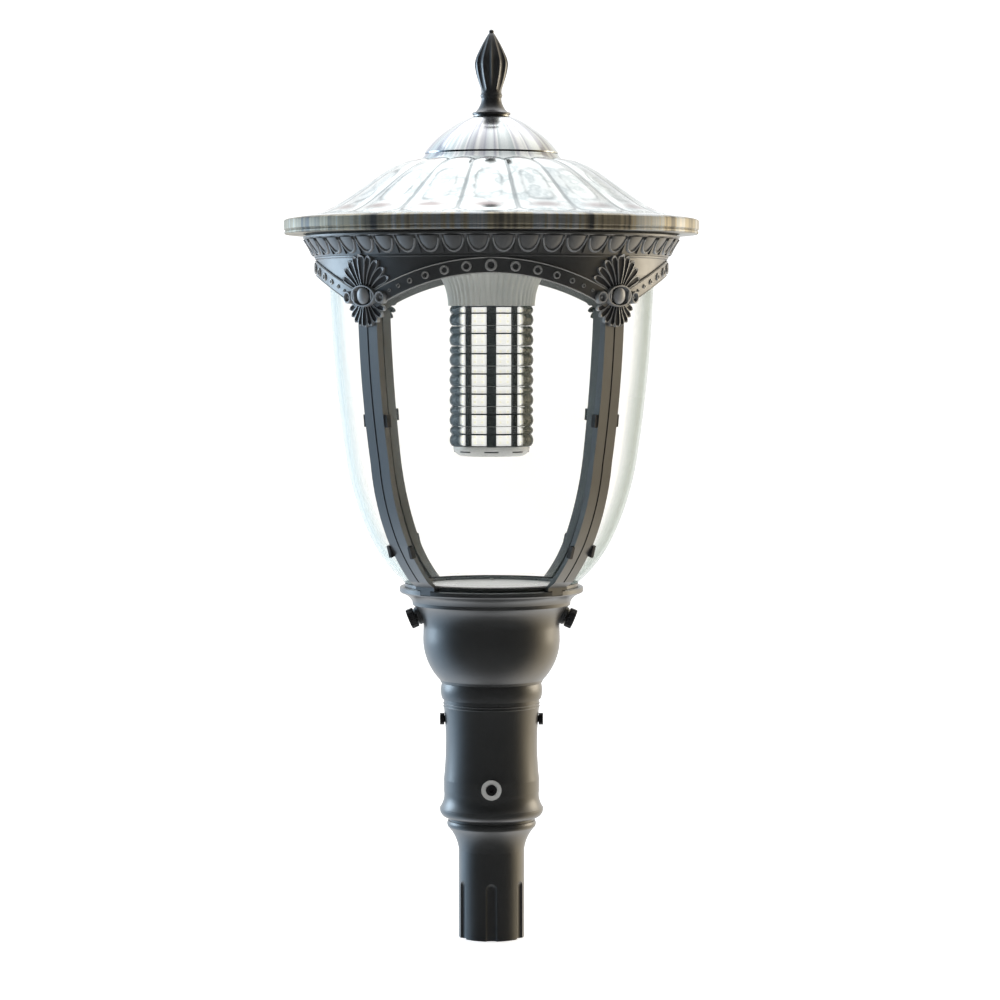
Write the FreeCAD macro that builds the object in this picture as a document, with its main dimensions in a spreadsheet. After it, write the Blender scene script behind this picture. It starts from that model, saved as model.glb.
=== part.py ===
import FreeCAD, Part
import math
import os
import re

import Sketcher

# Post top lantern on a post head.  Millimetres, +Z up, front is -Y.
# The origin is the centre of the post head's lower mouth, where a round pole goes in.

SIZES = (
    # Post head
    ("pole_bore_radius", 30.5, "bore that slides over a 60 mm pole"),
    ("pole_bore_depth", 100, "how far the pole goes in"),
    ("wire_bore_radius", 25, "way for the supply cable"),
    ("stub_radius", 38, "fluted stub"),
    ("stub_height", 101, "top of the stub"),
    ("flute_count", 6, "flutes around the stub"),
    ("flute_radius", 8.5, "round bottom of a flute"),
    ("flute_depth", 3.5, "depth of a flute"),
    ("flute_height", 60, "height of the flutes from the mouth"),
    ("head_ring_radius", 51.8, "ring under the shoulder"),
    ("head_ring_height", 7, "height of that ring"),
    ("head_height", 135.6, "shoulder that carries the lantern"),
    ("spigot_radius", 44, "spigot inside the collar"),
    ("spigot_height", 130, "spigot above the shoulder"),
    # Neck collar
    ("swivel_gap", 0.3, "between shoulder and collar"),
    ("running_fit", 0.06, "radial play of turning fits"),
    ("part_gap", 0.3, "play between neighbouring curved faces"),
    ("collar_height", 160, "whole collar"),
    ("collar_lip_radius", 49.5, "recessed lip at the bottom"),
    ("collar_lip_height", 3, "its height"),
    ("collar_foot_radius", 59.8, "bottom bead"),
    ("foot_bead_height", 11.5, "bottom bead"),
    ("foot_fade_height", 19.5, "fade from the bead to the band"),
    ("collar_band_radius", 55.2, "plain band"),
    ("low_band_height", 14, "lower band"),
    ("high_band_height", 9, "upper band"),
    ("collar_head_radius", 57, "top bead at its edges"),
    ("head_bead_height", 19, "top bead"),
    ("collar_flange_bore", 30, "hole in the top flange"),
    ("collar_flange_height", 12, "thickness of the top flange"),
    ("set_screw_radius", 4, "set screw shank"),
    ("upper_screw_height", 117, "upper set screws above the collar foot"),
    ("lower_screw_height", 41.8, "lower set screws above the collar foot"),
    ("upper_screw_head", 6.9, "head radius"),
    ("upper_screw_sink", 0.7, "seat of the upper heads inside the band's radius"),
    ("lower_screw_head", 6.1, "head radius"),
    ("screw_head_height", 5, "height of a set screw head"),
    ("seat_ring_radius", 11.5, "ring round a lower set screw"),
    ("seat_ring_height", 2.6, "how far that ring stands out"),
    # Cup
    ("cup_foot_radius", 59.8, "above the joint with the collar"),
    ("cup_foot_edge", 58.6, "bottom edge"),
    ("cup_foot_height", 3, "foot edge"),
    ("cup_belly_radius", 78.8, "widest part of the belly"),
    ("cup_belly_height", 54, "height of the widest part"),
    ("cup_waist_height", 63, "where the flare begins"),
    ("cup_flare_radius", 90.9, "top of the flare"),
    ("cup_flare_height", 90, "top of the flare"),
    ("cup_lip_radius", 105.8, "lip"),
    ("cup_lip_height", 7, "height of the lip"),
    ("cup_height", 111, "whole cup"),
    ("cup_wall", 5, "wall"),
    ("cup_floor", 7, "floor"),
    ("cup_seat_radius", 98, "recess for the cage ring"),
    ("cup_seat_depth", 7, "depth of that recess"),
    ("gland_radius", 10, "cable gland thread"),
    ("collar_bolt_circle", 37, "bolts between cup and collar"),
    ("collar_bolt_radius", 3, "M6"),
    ("pillar_circle", 52, "pillars under the driver tray"),
    ("pillar_radius", 5, "pillar"),
    ("pillar_height", 18, "pillar above the cup floor"),
    ("small_screw_radius", 2, "M4"),
    ("fine_screw_radius", 1.5, "M3"),
    ("tray_radius", 66, "driver tray"),
    ("tray_thickness", 2, "driver tray"),
    ("driver_length", 80, "LED driver, left to right"),
    ("driver_width", 44, "LED driver, front to back"),
    ("driver_height", 28, "LED driver"),
    ("terminal_length", 40, "terminal block"),
    ("terminal_width", 18, "terminal block"),
    ("terminal_height", 18, "terminal block"),
    # Clamp screws in the cup flare
    ("clamp_radius", 84.5, "where the axis leaves the flare"),
    ("clamp_height", 76.5, "the same point above the cup foot"),
    ("clamp_tilt", 23, "degrees below level"),
    ("clamp_shank_radius", 4, "M8"),
    ("clamp_knob_radius", 11.5, "knob"),
    ("clamp_knob_height", 8.5, "knob"),
    ("clamp_boss_radius", 10.5, "flat boss on the flare"),
    ("clamp_boss_height", 1.2, "how far the boss stands out"),
    ("clamp_washer_height", 1.5, "captive washer"),
    ("clamp_lug_width", 20, "lug on the cage ring"),
    ("clamp_lug_radius", 73.2, "outer face of the lug"),
    ("clamp_lug_thickness", 5, "lug"),
    ("clamp_lug_drop", 28, "lug below the ring"),
    # Cage ring, cover and ribs
    ("ring_inner_radius", 80, "ledge for the cover"),
    ("ring_cover_radius", 86, "recess for the cover"),
    ("ring_flange_radius", 100, "flange between the rib feet"),
    ("ring_height", 11, "cage ring"),
    ("ring_ledge_height", 5, "ledge for the cover"),
    ("cover_thickness", 3, "cup cover"),
    ("foot_screw_offset", 9, "rib foot screws from the rib's middle"),
    ("gasket_thickness", 1, "bowl foot gasket"),
    ("rib_width", 30, "rib"),
    ("rib_gap", 1.2, "between rib and bowl"),
    ("rib_foot_radius", 106, "outer face at the foot"),
    ("rib_foot_height", 3.7, "upright foot"),
    ("rib_low_radius", 115.5, "outer face"),
    ("rib_low_height", 10, "above the lip"),
    ("rib_mid_radius", 146.5, "outer face"),
    ("rib_mid_height", 53, "above the lip"),
    ("rib_high_radius", 175.3, "outer face"),
    ("rib_high_height", 145, "above the lip"),
    ("rib_groove_width", 2.2, "centre groove"),
    ("rib_groove_depth", 1.2, "centre groove"),
    ("wire_channel_width", 5.5, "channel for the lamp lead"),
    ("wire_channel_depth", 3.2, "channel for the lamp lead"),
    ("tab_width", 16, "tab in the notch of the lip"),
    ("tab_depth", 5.5, "tab in the notch of the lip"),
    ("tongue_width", 22, "tongue behind the crown skirt"),
    ("tongue_height", 20, "tongue behind the crown skirt"),
    ("tongue_thickness", 3.2, "tongue behind the crown skirt"),
    ("top_screw_offset", 7, "rib top screws from the rib's middle"),
    ("top_screw_height", 12, "rib top screws above the crown foot"),
    ("clip_length", 14, "bowl clip on a rib"),
    ("clip_low_height", 47, "lower clips above the lip"),
    ("clip_high_height", 194, "upper clips above the lip"),
    # Bowl
    ("bowl_wall", 3, "clear bowl"),
    ("bowl_foot_inner", 90, "hole in the foot"),
    ("bowl_foot_radius", 100.5, "foot"),
    ("bowl_low_radius", 138, "outside"),
    ("bowl_low_height", 48, "above the bowl foot"),
    ("bowl_mid_radius", 167.3, "outside"),
    ("bowl_mid_height", 140, "above the bowl foot"),
    ("bowl_high_radius", 185, "outside, level with the rib tops"),
    ("bowl_high_height", 313.7, "above the bowl foot"),
    ("bowl_top_radius", 187.5, "outside, under the flange"),
    ("bowl_height", 369, "whole bowl"),
    ("bowl_flange_radius", 195.3, "flange"),
    ("bowl_flange_thickness", 4, "flange"),
    ("flange_gasket_thickness", 2, "gaskets above and below the flange"),
    # Crown ring
    ("crown_foot_radius", 194, "outside, at the rib tops"),
    ("skirt_low_radius", 195, "outside"),
    ("skirt_low_height", 13, "above the crown foot"),
    ("skirt_high_radius", 198.5, "outside"),
    ("skirt_high_height", 37, "above the crown foot"),
    ("skirt_top_radius", 199.5, "outside, under the egg band"),
    ("skirt_top_height", 56, "above the crown foot"),
    ("skirt_wall", 3.6, "skirt"),
    ("egg_band_foot", 203, "cove of the egg band, outside"),
    ("egg_band_head", 213.6, "cove of the egg band, outside"),
    ("egg_band_height", 20, "cove of the egg band"),
    ("egg_bead_height", 2.6, "bead under the cove"),
    ("crown_lip_radius", 215.6, "top lip"),
    ("crown_height", 82.5, "whole crown ring"),
    ("ledge_radius", 189, "ledge under the bowl flange"),
    ("ledge_thickness", 4, "that ledge"),
    ("crown_bore_radius", 196.3, "bore above the ledge"),
    ("crown_step_radius", 206.2, "recess at the top"),
    ("crown_step_depth", 8.5, "recess at the top"),
    ("arch_radius", 235, "lower edge of an arch"),
    ("arch_rise", 37.5, "top of an arch above the crown foot"),
    ("arch_band_width", 18, "raised band along an arch"),
    ("arch_band_relief", 1.8, "how far the band stands out"),
    # Palmettes
    ("palmette_height", 13, "centre above the crown foot"),
    ("palmette_depth", 9, "how far it stands out at the boss"),
    ("boss_width", 33, "oval boss"),
    ("boss_height", 23, "oval boss"),
    ("upper_petal_length", 44, "longest upper petal"),
    ("lower_petal_length", 34, "longest lower petal"),
    ("skirt_lean", 6, "degrees the palmette leans out at the top"),
    ("petal_radius", 3.4, "petal tip"),
    ("scroll_spacing", 27, "scroll eye from the centre"),
    ("scroll_radius", 5.3, "scroll eye"),
    # Lamp and its tray
    ("grommet_circle", 120, "lead grommet in the lamp tray"),
    ("retainer_inner", 186, "retaining ring"),
    ("retainer_thickness", 4, "pressing flange"),
    ("retainer_wall", 3, "upright wall"),
    ("retainer_lip_radius", 205.6, "screwed lip"),
    ("retainer_lip_thickness", 3, "screwed lip"),
    ("lamp_tray_radius", 192, "lamp tray"),
    ("lamp_tray_thickness", 2.5, "lamp tray"),
    ("sink_height", 58, "heat sink"),
    ("sink_top_radius", 74, "heat sink"),
    ("sink_flare_radius", 60, "heat sink"),
    ("sink_flare_height", 29, "heat sink"),
    ("sink_foot_radius", 50, "heat sink"),
    ("core_radius", 31, "flat of the ten-sided core"),
    ("board_width", 17, "LED board"),
    ("board_thickness", 1.6, "LED board"),
    ("board_count", 10, "LED boards"),
    ("lens_radius", 48.3, "lens ring"),
    ("lens_inner", 40, "lens ring"),
    ("lens_height", 22.4, "lens ring"),
    ("lens_pitch", 23, "from one lens ring to the next"),
    ("lens_count", 7, "lens rings"),
    ("end_cap_radius", 44, "lamp end cap"),
    ("end_cap_height", 11, "lamp end cap"),
    ("tie_rod_radius", 5, "M10"),
    ("tie_nut_radius", 9.8, "corner radius of a nut"),
    ("tie_nut_height", 8, "nut"),
    # Roof
    ("roof_gasket_thickness", 2.5, "gasket under the roof"),
    ("rim_radius", 237.5, "rim"),
    ("rim_edge_radius", 234.6, "rim, lower and upper edge"),
    ("rim_bevel_height", 6, "lower bevel"),
    ("rim_face_height", 16.5, "top of the upright face"),
    ("dome_foot_radius", 206, "foot of the lobed dome"),
    ("dome_foot_height", 22, "crest of a lobe above the rim's lower edge"),
    ("dome_low_radius", 165, "outside"),
    ("dome_low_height", 41.5, "crest of a lobe above the rim's lower edge"),
    ("dome_mid_radius", 121, "outside"),
    ("dome_mid_height", 72, "crest of a lobe above the rim's lower edge"),
    ("dome_high_radius", 84, "outside"),
    ("dome_high_height", 85.5, "crest of a lobe above the rim's lower edge"),
    ("dome_seat_radius", 76, "seat for the upper dome"),
    ("dome_seat_height", 92, "seat for the upper dome"),
    ("roof_wall", 3, "canopy wall"),
    ("petal_count", 18, "lobes around the roof"),
    ("petal_first_angle", 19, "degrees from +X to a valley"),
    ("petal_rise", 2.5, "a lobe above the dome"),
    ("petal_valley", 0.8, "groove between two lobes"),
    ("roof_hole_radius", 6, "passage for the tie rod"),
    ("cap_radius", 76.8, "upper dome"),
    ("cap_height", 42.5, "upper dome"),
    ("cap_mid_radius", 48.3, "upper dome"),
    ("cap_mid_height", 28.5, "upper dome"),
    ("cap_top_radius", 22.4, "flat top of the upper dome"),
    ("cap_wall", 2.5, "upper dome"),
    # Finial
    ("finial_washer_thickness", 2, "captive washer"),
    ("finial_flange_radius", 21.9, "flange"),
    ("finial_flange_height", 2.5, "flange"),
    ("finial_neck_radius", 11.5, "neck"),
    ("finial_neck_height", 15, "neck"),
    ("finial_bead_height", 22, "bead"),
    ("finial_bulb_radius", 19, "bulb"),
    ("finial_bulb_height", 56, "bulb, widest"),
    ("finial_tip_radius", 4.4, "tip ball"),
    ("finial_tip_height", 90, "under the tip ball"),
    ("finial_height", 97.4, "whole finial"),
    ("finial_bore_depth", 26, "threaded bore"),
)

NAMES = {name for name, _, _ in SIZES}
WORD = re.compile(r"[a-z_][a-z0-9_]*")
RIB_ANGLES = {"front_right": -45, "rear_right": 45, "rear_left": 135, "front_left": 225}

doc = FreeCAD.newDocument("PostTopLantern")
sheet = doc.addObject("Spreadsheet::Sheet", "sizes")
for row, (name, value, note) in enumerate(SIZES, start=1):
    sheet.set(f"A{row}", name)
    sheet.set(f"B{row}", str(value))
    sheet.set(f"C{row}", note)
    sheet.setAlias(f"B{row}", name)
doc.recompute()

nodes = []


# ---------------------------------------------------------------- helpers

def bound(text):
    """A formula of size names, bound to the sheet's cells."""
    return WORD.sub(lambda m: "sizes." + m.group(0) if m.group(0) in NAMES else m.group(0), text)


def number(text):
    """The value of a formula of size names."""
    return float(sheet.evalExpression(bound(text)))


def bind(item, prop, text):
    """Ties a property to a formula of size names."""
    item.setExpression(prop, bound(text))


def place(item, at=("0", "0", "0"), rotation=None):
    """Puts an object at a point given by formulas."""
    item.Placement = FreeCAD.Placement(FreeCAD.Vector(), rotation or FreeCAD.Rotation())
    for axis, text in zip("xyz", at):
        if text != "0":
            bind(item, "Placement.Base." + axis, text)
    return item


def keep(item, label):
    """Registers a finished sub-part under its own name."""
    item.Label = label
    nodes.append(item)
    return item


def add_outline(sketch, outline):
    """Draws a closed outline and ties every corner and arc to the sheet.

    A corner is (across, up) or (across, up, bend).  A bend makes the edge to the next corner an
    arc whose radius is |bend| chords; it swells to the right of travel, or to the left if negative.
    """
    corners = [(number(corner[0]), number(corner[1])) for corner in outline]
    edges = []
    ends = []
    radii = []
    for i, corner in enumerate(outline):
        nxt = (i + 1) % len(outline)
        start = FreeCAD.Vector(*corners[i], 0)
        end = FreeCAD.Vector(*corners[nxt], 0)
        if len(corner) == 2:
            edges.append(Part.LineSegment(start, end))
            ends.append((1, 2))
            continue
        chord = end - start
        radius = abs(corner[2]) * chord.Length
        side = math.copysign(math.sqrt(radius ** 2 - (chord.Length / 2) ** 2), corner[2])
        across = FreeCAD.Vector(-chord.y, chord.x, 0).normalize()
        centre = (start + end) * 0.5 + across * side
        first, last = (start, end) if corner[2] > 0 else (end, start)
        angles = [math.atan2((p - centre).y, (p - centre).x) for p in (first, last)]
        circle = Part.Circle(centre, FreeCAD.Vector(0, 0, 1), radius)
        edges.append(Part.ArcOfCircle(circle, *angles))
        ends.append((1, 2) if corner[2] > 0 else (2, 1))
        far = outline[nxt]
        length = f"hypot(({far[0]}) - ({corner[0]}); ({far[1]}) - ({corner[1]}))"
        radii.append((i, f"{abs(corner[2])} * {length}"))
    first_edge = sketch.GeometryCount
    sketch.addGeometry(edges, False)
    rules = []
    formulas = []
    for i, corner in enumerate(outline):
        nxt = (i + 1) % len(outline)
        here = first_edge + i
        rules.append(Sketcher.Constraint("Coincident", here, ends[i][1], first_edge + nxt, ends[nxt][0]))
        for kind, text, value, axis in (("DistanceX", corner[0], corners[i][0], -2),
                                        ("DistanceY", corner[1], corners[i][1], -1)):
            if text == "0":
                rules.append(Sketcher.Constraint("PointOnObject", here, ends[i][0], axis))
            else:
                formulas.append((len(rules), text))
                rules.append(Sketcher.Constraint(kind, -1, 1, here, ends[i][0], value))
    for i, text in radii:
        formulas.append((len(rules), text))
        rules.append(Sketcher.Constraint("Radius", first_edge + i, number(text)))
    first_rule = sketch.ConstraintCount
    sketch.addConstraint(rules)
    for index, text in formulas:
        bind(sketch, f"Constraints[{first_rule + index}]", text)


def new_sketch(body, plane):
    """An empty sketch on one of the body's own planes."""
    sketch = body.newObject("Sketcher::SketchObject", body.Name + "_sketch")
    face = next(item for item in body.Origin.OriginFeatures if item.Role == plane)
    sketch.AttachmentSupport = (face, [""])
    sketch.MapMode = "FlatFace"
    return sketch


def turned(name, outline, up="0"):
    """A body turned about its upright axis from an outline of (radius, height) corners."""
    body = doc.addObject("PartDesign::Body", name)
    sketch = new_sketch(body, "XZ_Plane")
    add_outline(sketch, outline)
    turning = body.newObject("PartDesign::Revolution", name + "_turning")
    turning.Profile = sketch
    turning.ReferenceAxis = (sketch, ["V_Axis"])
    turning.Angle = 360
    body.Tip = turning
    place(body, ("0", "0", up))
    return body


def pad_slab(body, outline, width):
    """Adds an upright slab of the given width, centred on the XZ plane."""
    sketch = new_sketch(body, "XZ_Plane")
    add_outline(sketch, outline)
    slab = body.newObject("PartDesign::Pad", body.Name + "_slab")
    slab.Profile = sketch
    slab.SideType = "Symmetric"
    bind(slab, "Length", width)
    body.Tip = slab
    return slab


def cut_slab(body, outline, width):
    """Cuts an upright slot of the given width, centred on the XZ plane."""
    doc.recompute()
    before = body.Shape.Volume
    sketch = new_sketch(body, "XZ_Plane")
    add_outline(sketch, outline)
    slot = body.newObject("PartDesign::Pocket", body.Name + "_slot")
    slot.Profile = sketch
    slot.SideType = "Symmetric"
    bind(slot, "Length", width)
    body.Tip = slot
    doc.recompute()
    if body.Shape.Volume >= before:
        raise ValueError(body.Name + ": a slot cuts nothing")


def cylinder(name, radius, height, at=("0", "0", "0"), rotation=None):
    """A round bar that starts at a point."""
    bar = doc.addObject("Part::Cylinder", name)
    bind(bar, "Radius", radius)
    bind(bar, "Height", height)
    return place(bar, at, rotation)


def block(name, length, width, height, at=("0", "0", "0")):
    """A box that starts at its low corner."""
    box = doc.addObject("Part::Box", name)
    bind(box, "Length", length)
    bind(box, "Width", width)
    bind(box, "Height", height)
    return place(box, at)


def cut(name, base, *tools):
    """The base without the tools."""
    item = doc.addObject("Part::Cut", name)
    item.Base = base
    if len(tools) == 1:
        item.Tool = tools[0]
        return item
    joined = doc.addObject("Part::MultiFuse", name + "_tools")
    joined.Shapes = list(tools)
    item.Tool = joined
    return item


def fuse(name, *pieces):
    """The pieces as one solid."""
    item = doc.addObject("Part::MultiFuse", name)
    item.Shapes = list(pieces)
    return item


def ring(name, outer, inner, height, up):
    """A flat ring."""
    disc = cylinder(name + "_disc", outer, height, ("0", "0", up))
    hole = cylinder(name + "_hole", inner, height, ("0", "0", up))
    return cut(name, disc, hole)


def point(radius, angle, up):
    """A point on a circle, as a vector."""
    turn = math.radians(angle)
    return FreeCAD.Vector(number(radius) * math.cos(turn), number(radius) * math.sin(turn), number(up))


def outward(angle, tilt=0):
    """The level direction at an angle round the axis, or tilted down by some degrees."""
    turn = math.radians(angle)
    drop = math.radians(tilt)
    return FreeCAD.Vector(math.cos(turn) * math.cos(drop), math.sin(turn) * math.cos(drop), -math.sin(drop))


def facing(direction):
    """The rotation that turns +Z to a direction."""
    return FreeCAD.Rotation(FreeCAD.Vector(0, 0, 1), direction)


def rods(radius, length, seats):
    """Loose round bars for boring holes, one for each (point, direction)."""
    return [Part.makeCylinder(radius, length, seat, direction) for seat, direction in seats]


def loose(name):
    """The radius of a running hole for a shank of the named size."""
    return number(name + " + running_fit")


def bored(label, base, radius, length, seats):
    """A body with round holes at the given seats."""
    drill = doc.addObject("Part::Feature", label + "_drill")
    drill.Shape = Part.makeCompound(rods(radius, length, seats))
    return cut(label, base, drill)


def screws(label, seats, shank, length, head, head_height):
    """A group of equal socket head screws: the seat is where the head meets the part."""
    solids = []
    for seat, direction in seats:
        body = Part.makeCylinder(head, head_height, seat, direction)
        body = body.fuse(Part.makeCylinder(shank, length, seat - direction * length, direction))
        key_seat = seat + direction * head_height * 0.45
        key = Part.makeCylinder(head * 0.42, head_height * 0.55, key_seat, direction)
        solids.append(body.cut(key).removeSplitter())
    group = doc.addObject("Part::Feature", label)
    group.Shape = Part.makeCompound(solids)
    return keep(group, label)


# Heights of the main joints, as formulas from the origin up
COLLAR_UP = "head_height + swivel_gap"
CUP_UP = "head_height + swivel_gap + collar_height"
FLOOR_UP = CUP_UP + " + cup_floor"
TRAY_UP = FLOOR_UP + " + pillar_height"
DECK_UP = TRAY_UP + " + tray_thickness"
RING_UP = CUP_UP + " + cup_height - cup_seat_depth"
LIP_UP = CUP_UP + " + cup_height + part_gap"
GASKET_UP = RING_UP + " + ring_height"
BOWL_UP = GASKET_UP + " + gasket_thickness"
CROWN_UP = BOWL_UP + " + bowl_high_height"
FLANGE_TOP = BOWL_UP + " + bowl_height"
RETAINER_UP = FLANGE_TOP + " + flange_gasket_thickness"
LAMP_TRAY_UP = RETAINER_UP + " + retainer_thickness"
ROOF_UP = CROWN_UP + " + crown_height + roof_gasket_thickness"
CAP_UP = ROOF_UP + " + dome_seat_height"
WASHER_UP = CAP_UP + " + cap_height"
FINIAL_UP = WASHER_UP + " + finial_washer_thickness"
SINK_UP = LAMP_TRAY_UP + " - sink_height"
TOWER_UP = SINK_UP + " - lens_count * lens_pitch"

# Sizes that follow from other sizes, and the places of the screws
FOOT_STEP = "(ring_height + gasket_thickness - cup_seat_depth - part_gap)"
RIB_TOP = FOOT_STEP + " + bowl_high_height"
TONGUE_OUT = "sqrt((crown_foot_radius - skirt_wall - part_gap)^2 - (tongue_width / 2)^2)"
RIB_FACE = (
    ("rib_low_radius", "rib_low_height", 4.7),
    ("rib_mid_radius", "rib_mid_height", 2.7),
    ("rib_high_radius", "rib_high_height", 6.6),
    ("crown_foot_radius", RIB_TOP),
)
RETAINER_OUT = "(crown_bore_radius - part_gap)"
COVER_SCREW_ANGLES = (0, 90, 180, 270)
RETAINER_SCREW_ANGLES = (0, 60, 120, 180, 240, 300)
TRAY_SCREW_ANGLES = (30, 150, 270)


# ---------------------------------------------------------------- post head and collar

def build_post_head():
    """Fluted stub with the pole bore, flare, shoulder and spigot."""
    body = turned("post_head_turning", (
        ("wire_bore_radius", "pole_bore_depth"),
        ("pole_bore_radius", "pole_bore_depth"),
        ("pole_bore_radius", "0"),
        ("stub_radius", "0"),
        ("stub_radius", "stub_height", -1.5),
        ("head_ring_radius - 1.2", "head_height - head_ring_height", 0.9),
        ("head_ring_radius - 1.6", "head_height"),
        ("spigot_radius", "head_height"),
        ("spigot_radius", "head_height + spigot_height"),
        ("wire_bore_radius", "head_height + spigot_height"),
    ))
    flute = cylinder("flute", "flute_radius", "flute_height",
                     ("0", "-(stub_radius + flute_radius - flute_depth)", "0"))
    tip = doc.addObject("Part::Sphere", "flute_tip")
    bind(tip, "Radius", "flute_radius")
    place(tip, ("0", "-(stub_radius + flute_radius - flute_depth)", "flute_height"))
    one = fuse("one_flute", flute, tip)
    doc.recompute()
    count = round(number("flute_count"))
    flutes = doc.addObject("Part::Feature", "flutes")
    flutes.Shape = Part.makeCompound([turned_copy(one.Shape, 360 * k / count) for k in range(count)])
    keep(cut("post_head", body, flutes), "post_head")


def turned_copy(shape, angle):
    """A copy of a shape, turned about the upright axis."""
    copy = shape.copy()
    copy.rotate(FreeCAD.Vector(), FreeCAD.Vector(0, 0, 1), angle)
    return copy


def upper_screw_seats():
    """Left and right on the waist of the collar."""
    up = COLLAR_UP + " + upper_screw_height"
    return [(point("collar_band_radius - upper_screw_sink", angle, up), outward(angle)) for angle in (0, 180)]


def lower_screw_seats(radius):
    """Front and back on the lower band."""
    up = COLLAR_UP + " + lower_screw_height"
    return [(point(radius, angle, up), outward(angle)) for angle in (-90, 90)]


def build_collar():
    """Neck collar that turns on the spigot, with its set screws."""
    bore = "spigot_radius + running_fit"
    band_up = "collar_lip_height + foot_bead_height + foot_fade_height"
    bead_up = "collar_height - head_bead_height"
    body = turned("collar_turning", (
        (bore, "0"),
        ("collar_lip_radius", "0"),
        ("collar_lip_radius", "collar_lip_height"),
        ("collar_lip_radius + 1.5", "collar_lip_height", 0.75),
        ("collar_foot_radius", "collar_lip_height + foot_bead_height - 2"),
        ("collar_foot_radius", "collar_lip_height + foot_bead_height", -1.3),
        ("collar_band_radius", band_up),
        ("collar_band_radius", band_up + " + low_band_height", -4.5),
        ("collar_band_radius", bead_up + " - high_band_height"),
        ("collar_band_radius", bead_up),
        ("collar_head_radius", bead_up, 1.4),
        ("collar_head_radius", "collar_height"),
        ("collar_flange_bore", "collar_height"),
        ("collar_flange_bore", "collar_height - collar_flange_height"),
        (bore, "collar_height - collar_flange_height"),
    ), COLLAR_UP)
    inner = number("spigot_radius") - 1
    deep = number("collar_foot_radius")
    hole = loose("set_screw_radius")
    seats = [(direction * inner + FreeCAD.Vector(0, 0, seat.z), direction)
             for seat, direction in upper_screw_seats() + lower_screw_seats("collar_band_radius")]
    drilled = bored("collar_drilled", body, hole, deep - inner + 5, seats)
    bolts = doc.addObject("Part::Feature", "collar_bolt_drill")
    low = CUP_UP + " - collar_flange_height - 1"
    bolts.Shape = Part.makeCompound(rods(
        loose("collar_bolt_radius"), number("collar_flange_height") + 2,
        [(point("collar_bolt_circle", angle, low), FreeCAD.Vector(0, 0, 1)) for angle in (30, 150, 270)]))
    keep(cut("neck_collar", drilled, bolts), "neck_collar")
    shank = number("set_screw_radius")
    reach = number("collar_band_radius - upper_screw_sink - spigot_radius - swivel_gap")
    screws("upper_set_screws", upper_screw_seats(), shank, reach,
           number("upper_screw_head"), number("screw_head_height"))
    low = "collar_band_radius + part_gap"
    screws("lower_set_screws", lower_screw_seats(low), shank,
           number(low + " - spigot_radius - swivel_gap"),
           number("lower_screw_head"), number("screw_head_height - 1.6"))
    build_seat_rings()


def build_seat_rings():
    """Rings round the lower set screws, shaped to the collar behind them."""
    rings = []
    for seat, direction in lower_screw_seats("collar_band_radius - 2"):
        height = number("seat_ring_height + 2")
        disc = Part.makeCylinder(number("seat_ring_radius"), height, seat, direction)
        hole = Part.makeCylinder(number("lower_screw_head + part_gap"), height, seat, direction)
        rings.append(disc.cut(hole))
    collar = Part.makeCylinder(number("collar_band_radius + part_gap / 2"), number("collar_height"),
                               FreeCAD.Vector(0, 0, number(COLLAR_UP)))
    group = doc.addObject("Part::Feature", "lower_screw_seats")
    group.Shape = Part.makeCompound([item.cut(collar) for item in rings])
    keep(group, "lower_screw_seats")


# ---------------------------------------------------------------- cup and what it holds

def clamp_seats(along):
    """Points on the two clamp screw axes, some way out along the axis from the flare."""
    tilt = number("clamp_tilt")
    up = CUP_UP + " + clamp_height"
    return [(point("clamp_radius", angle, up) + outward(angle, tilt) * along, outward(angle, tilt))
            for angle in (0, 180)]


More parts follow.
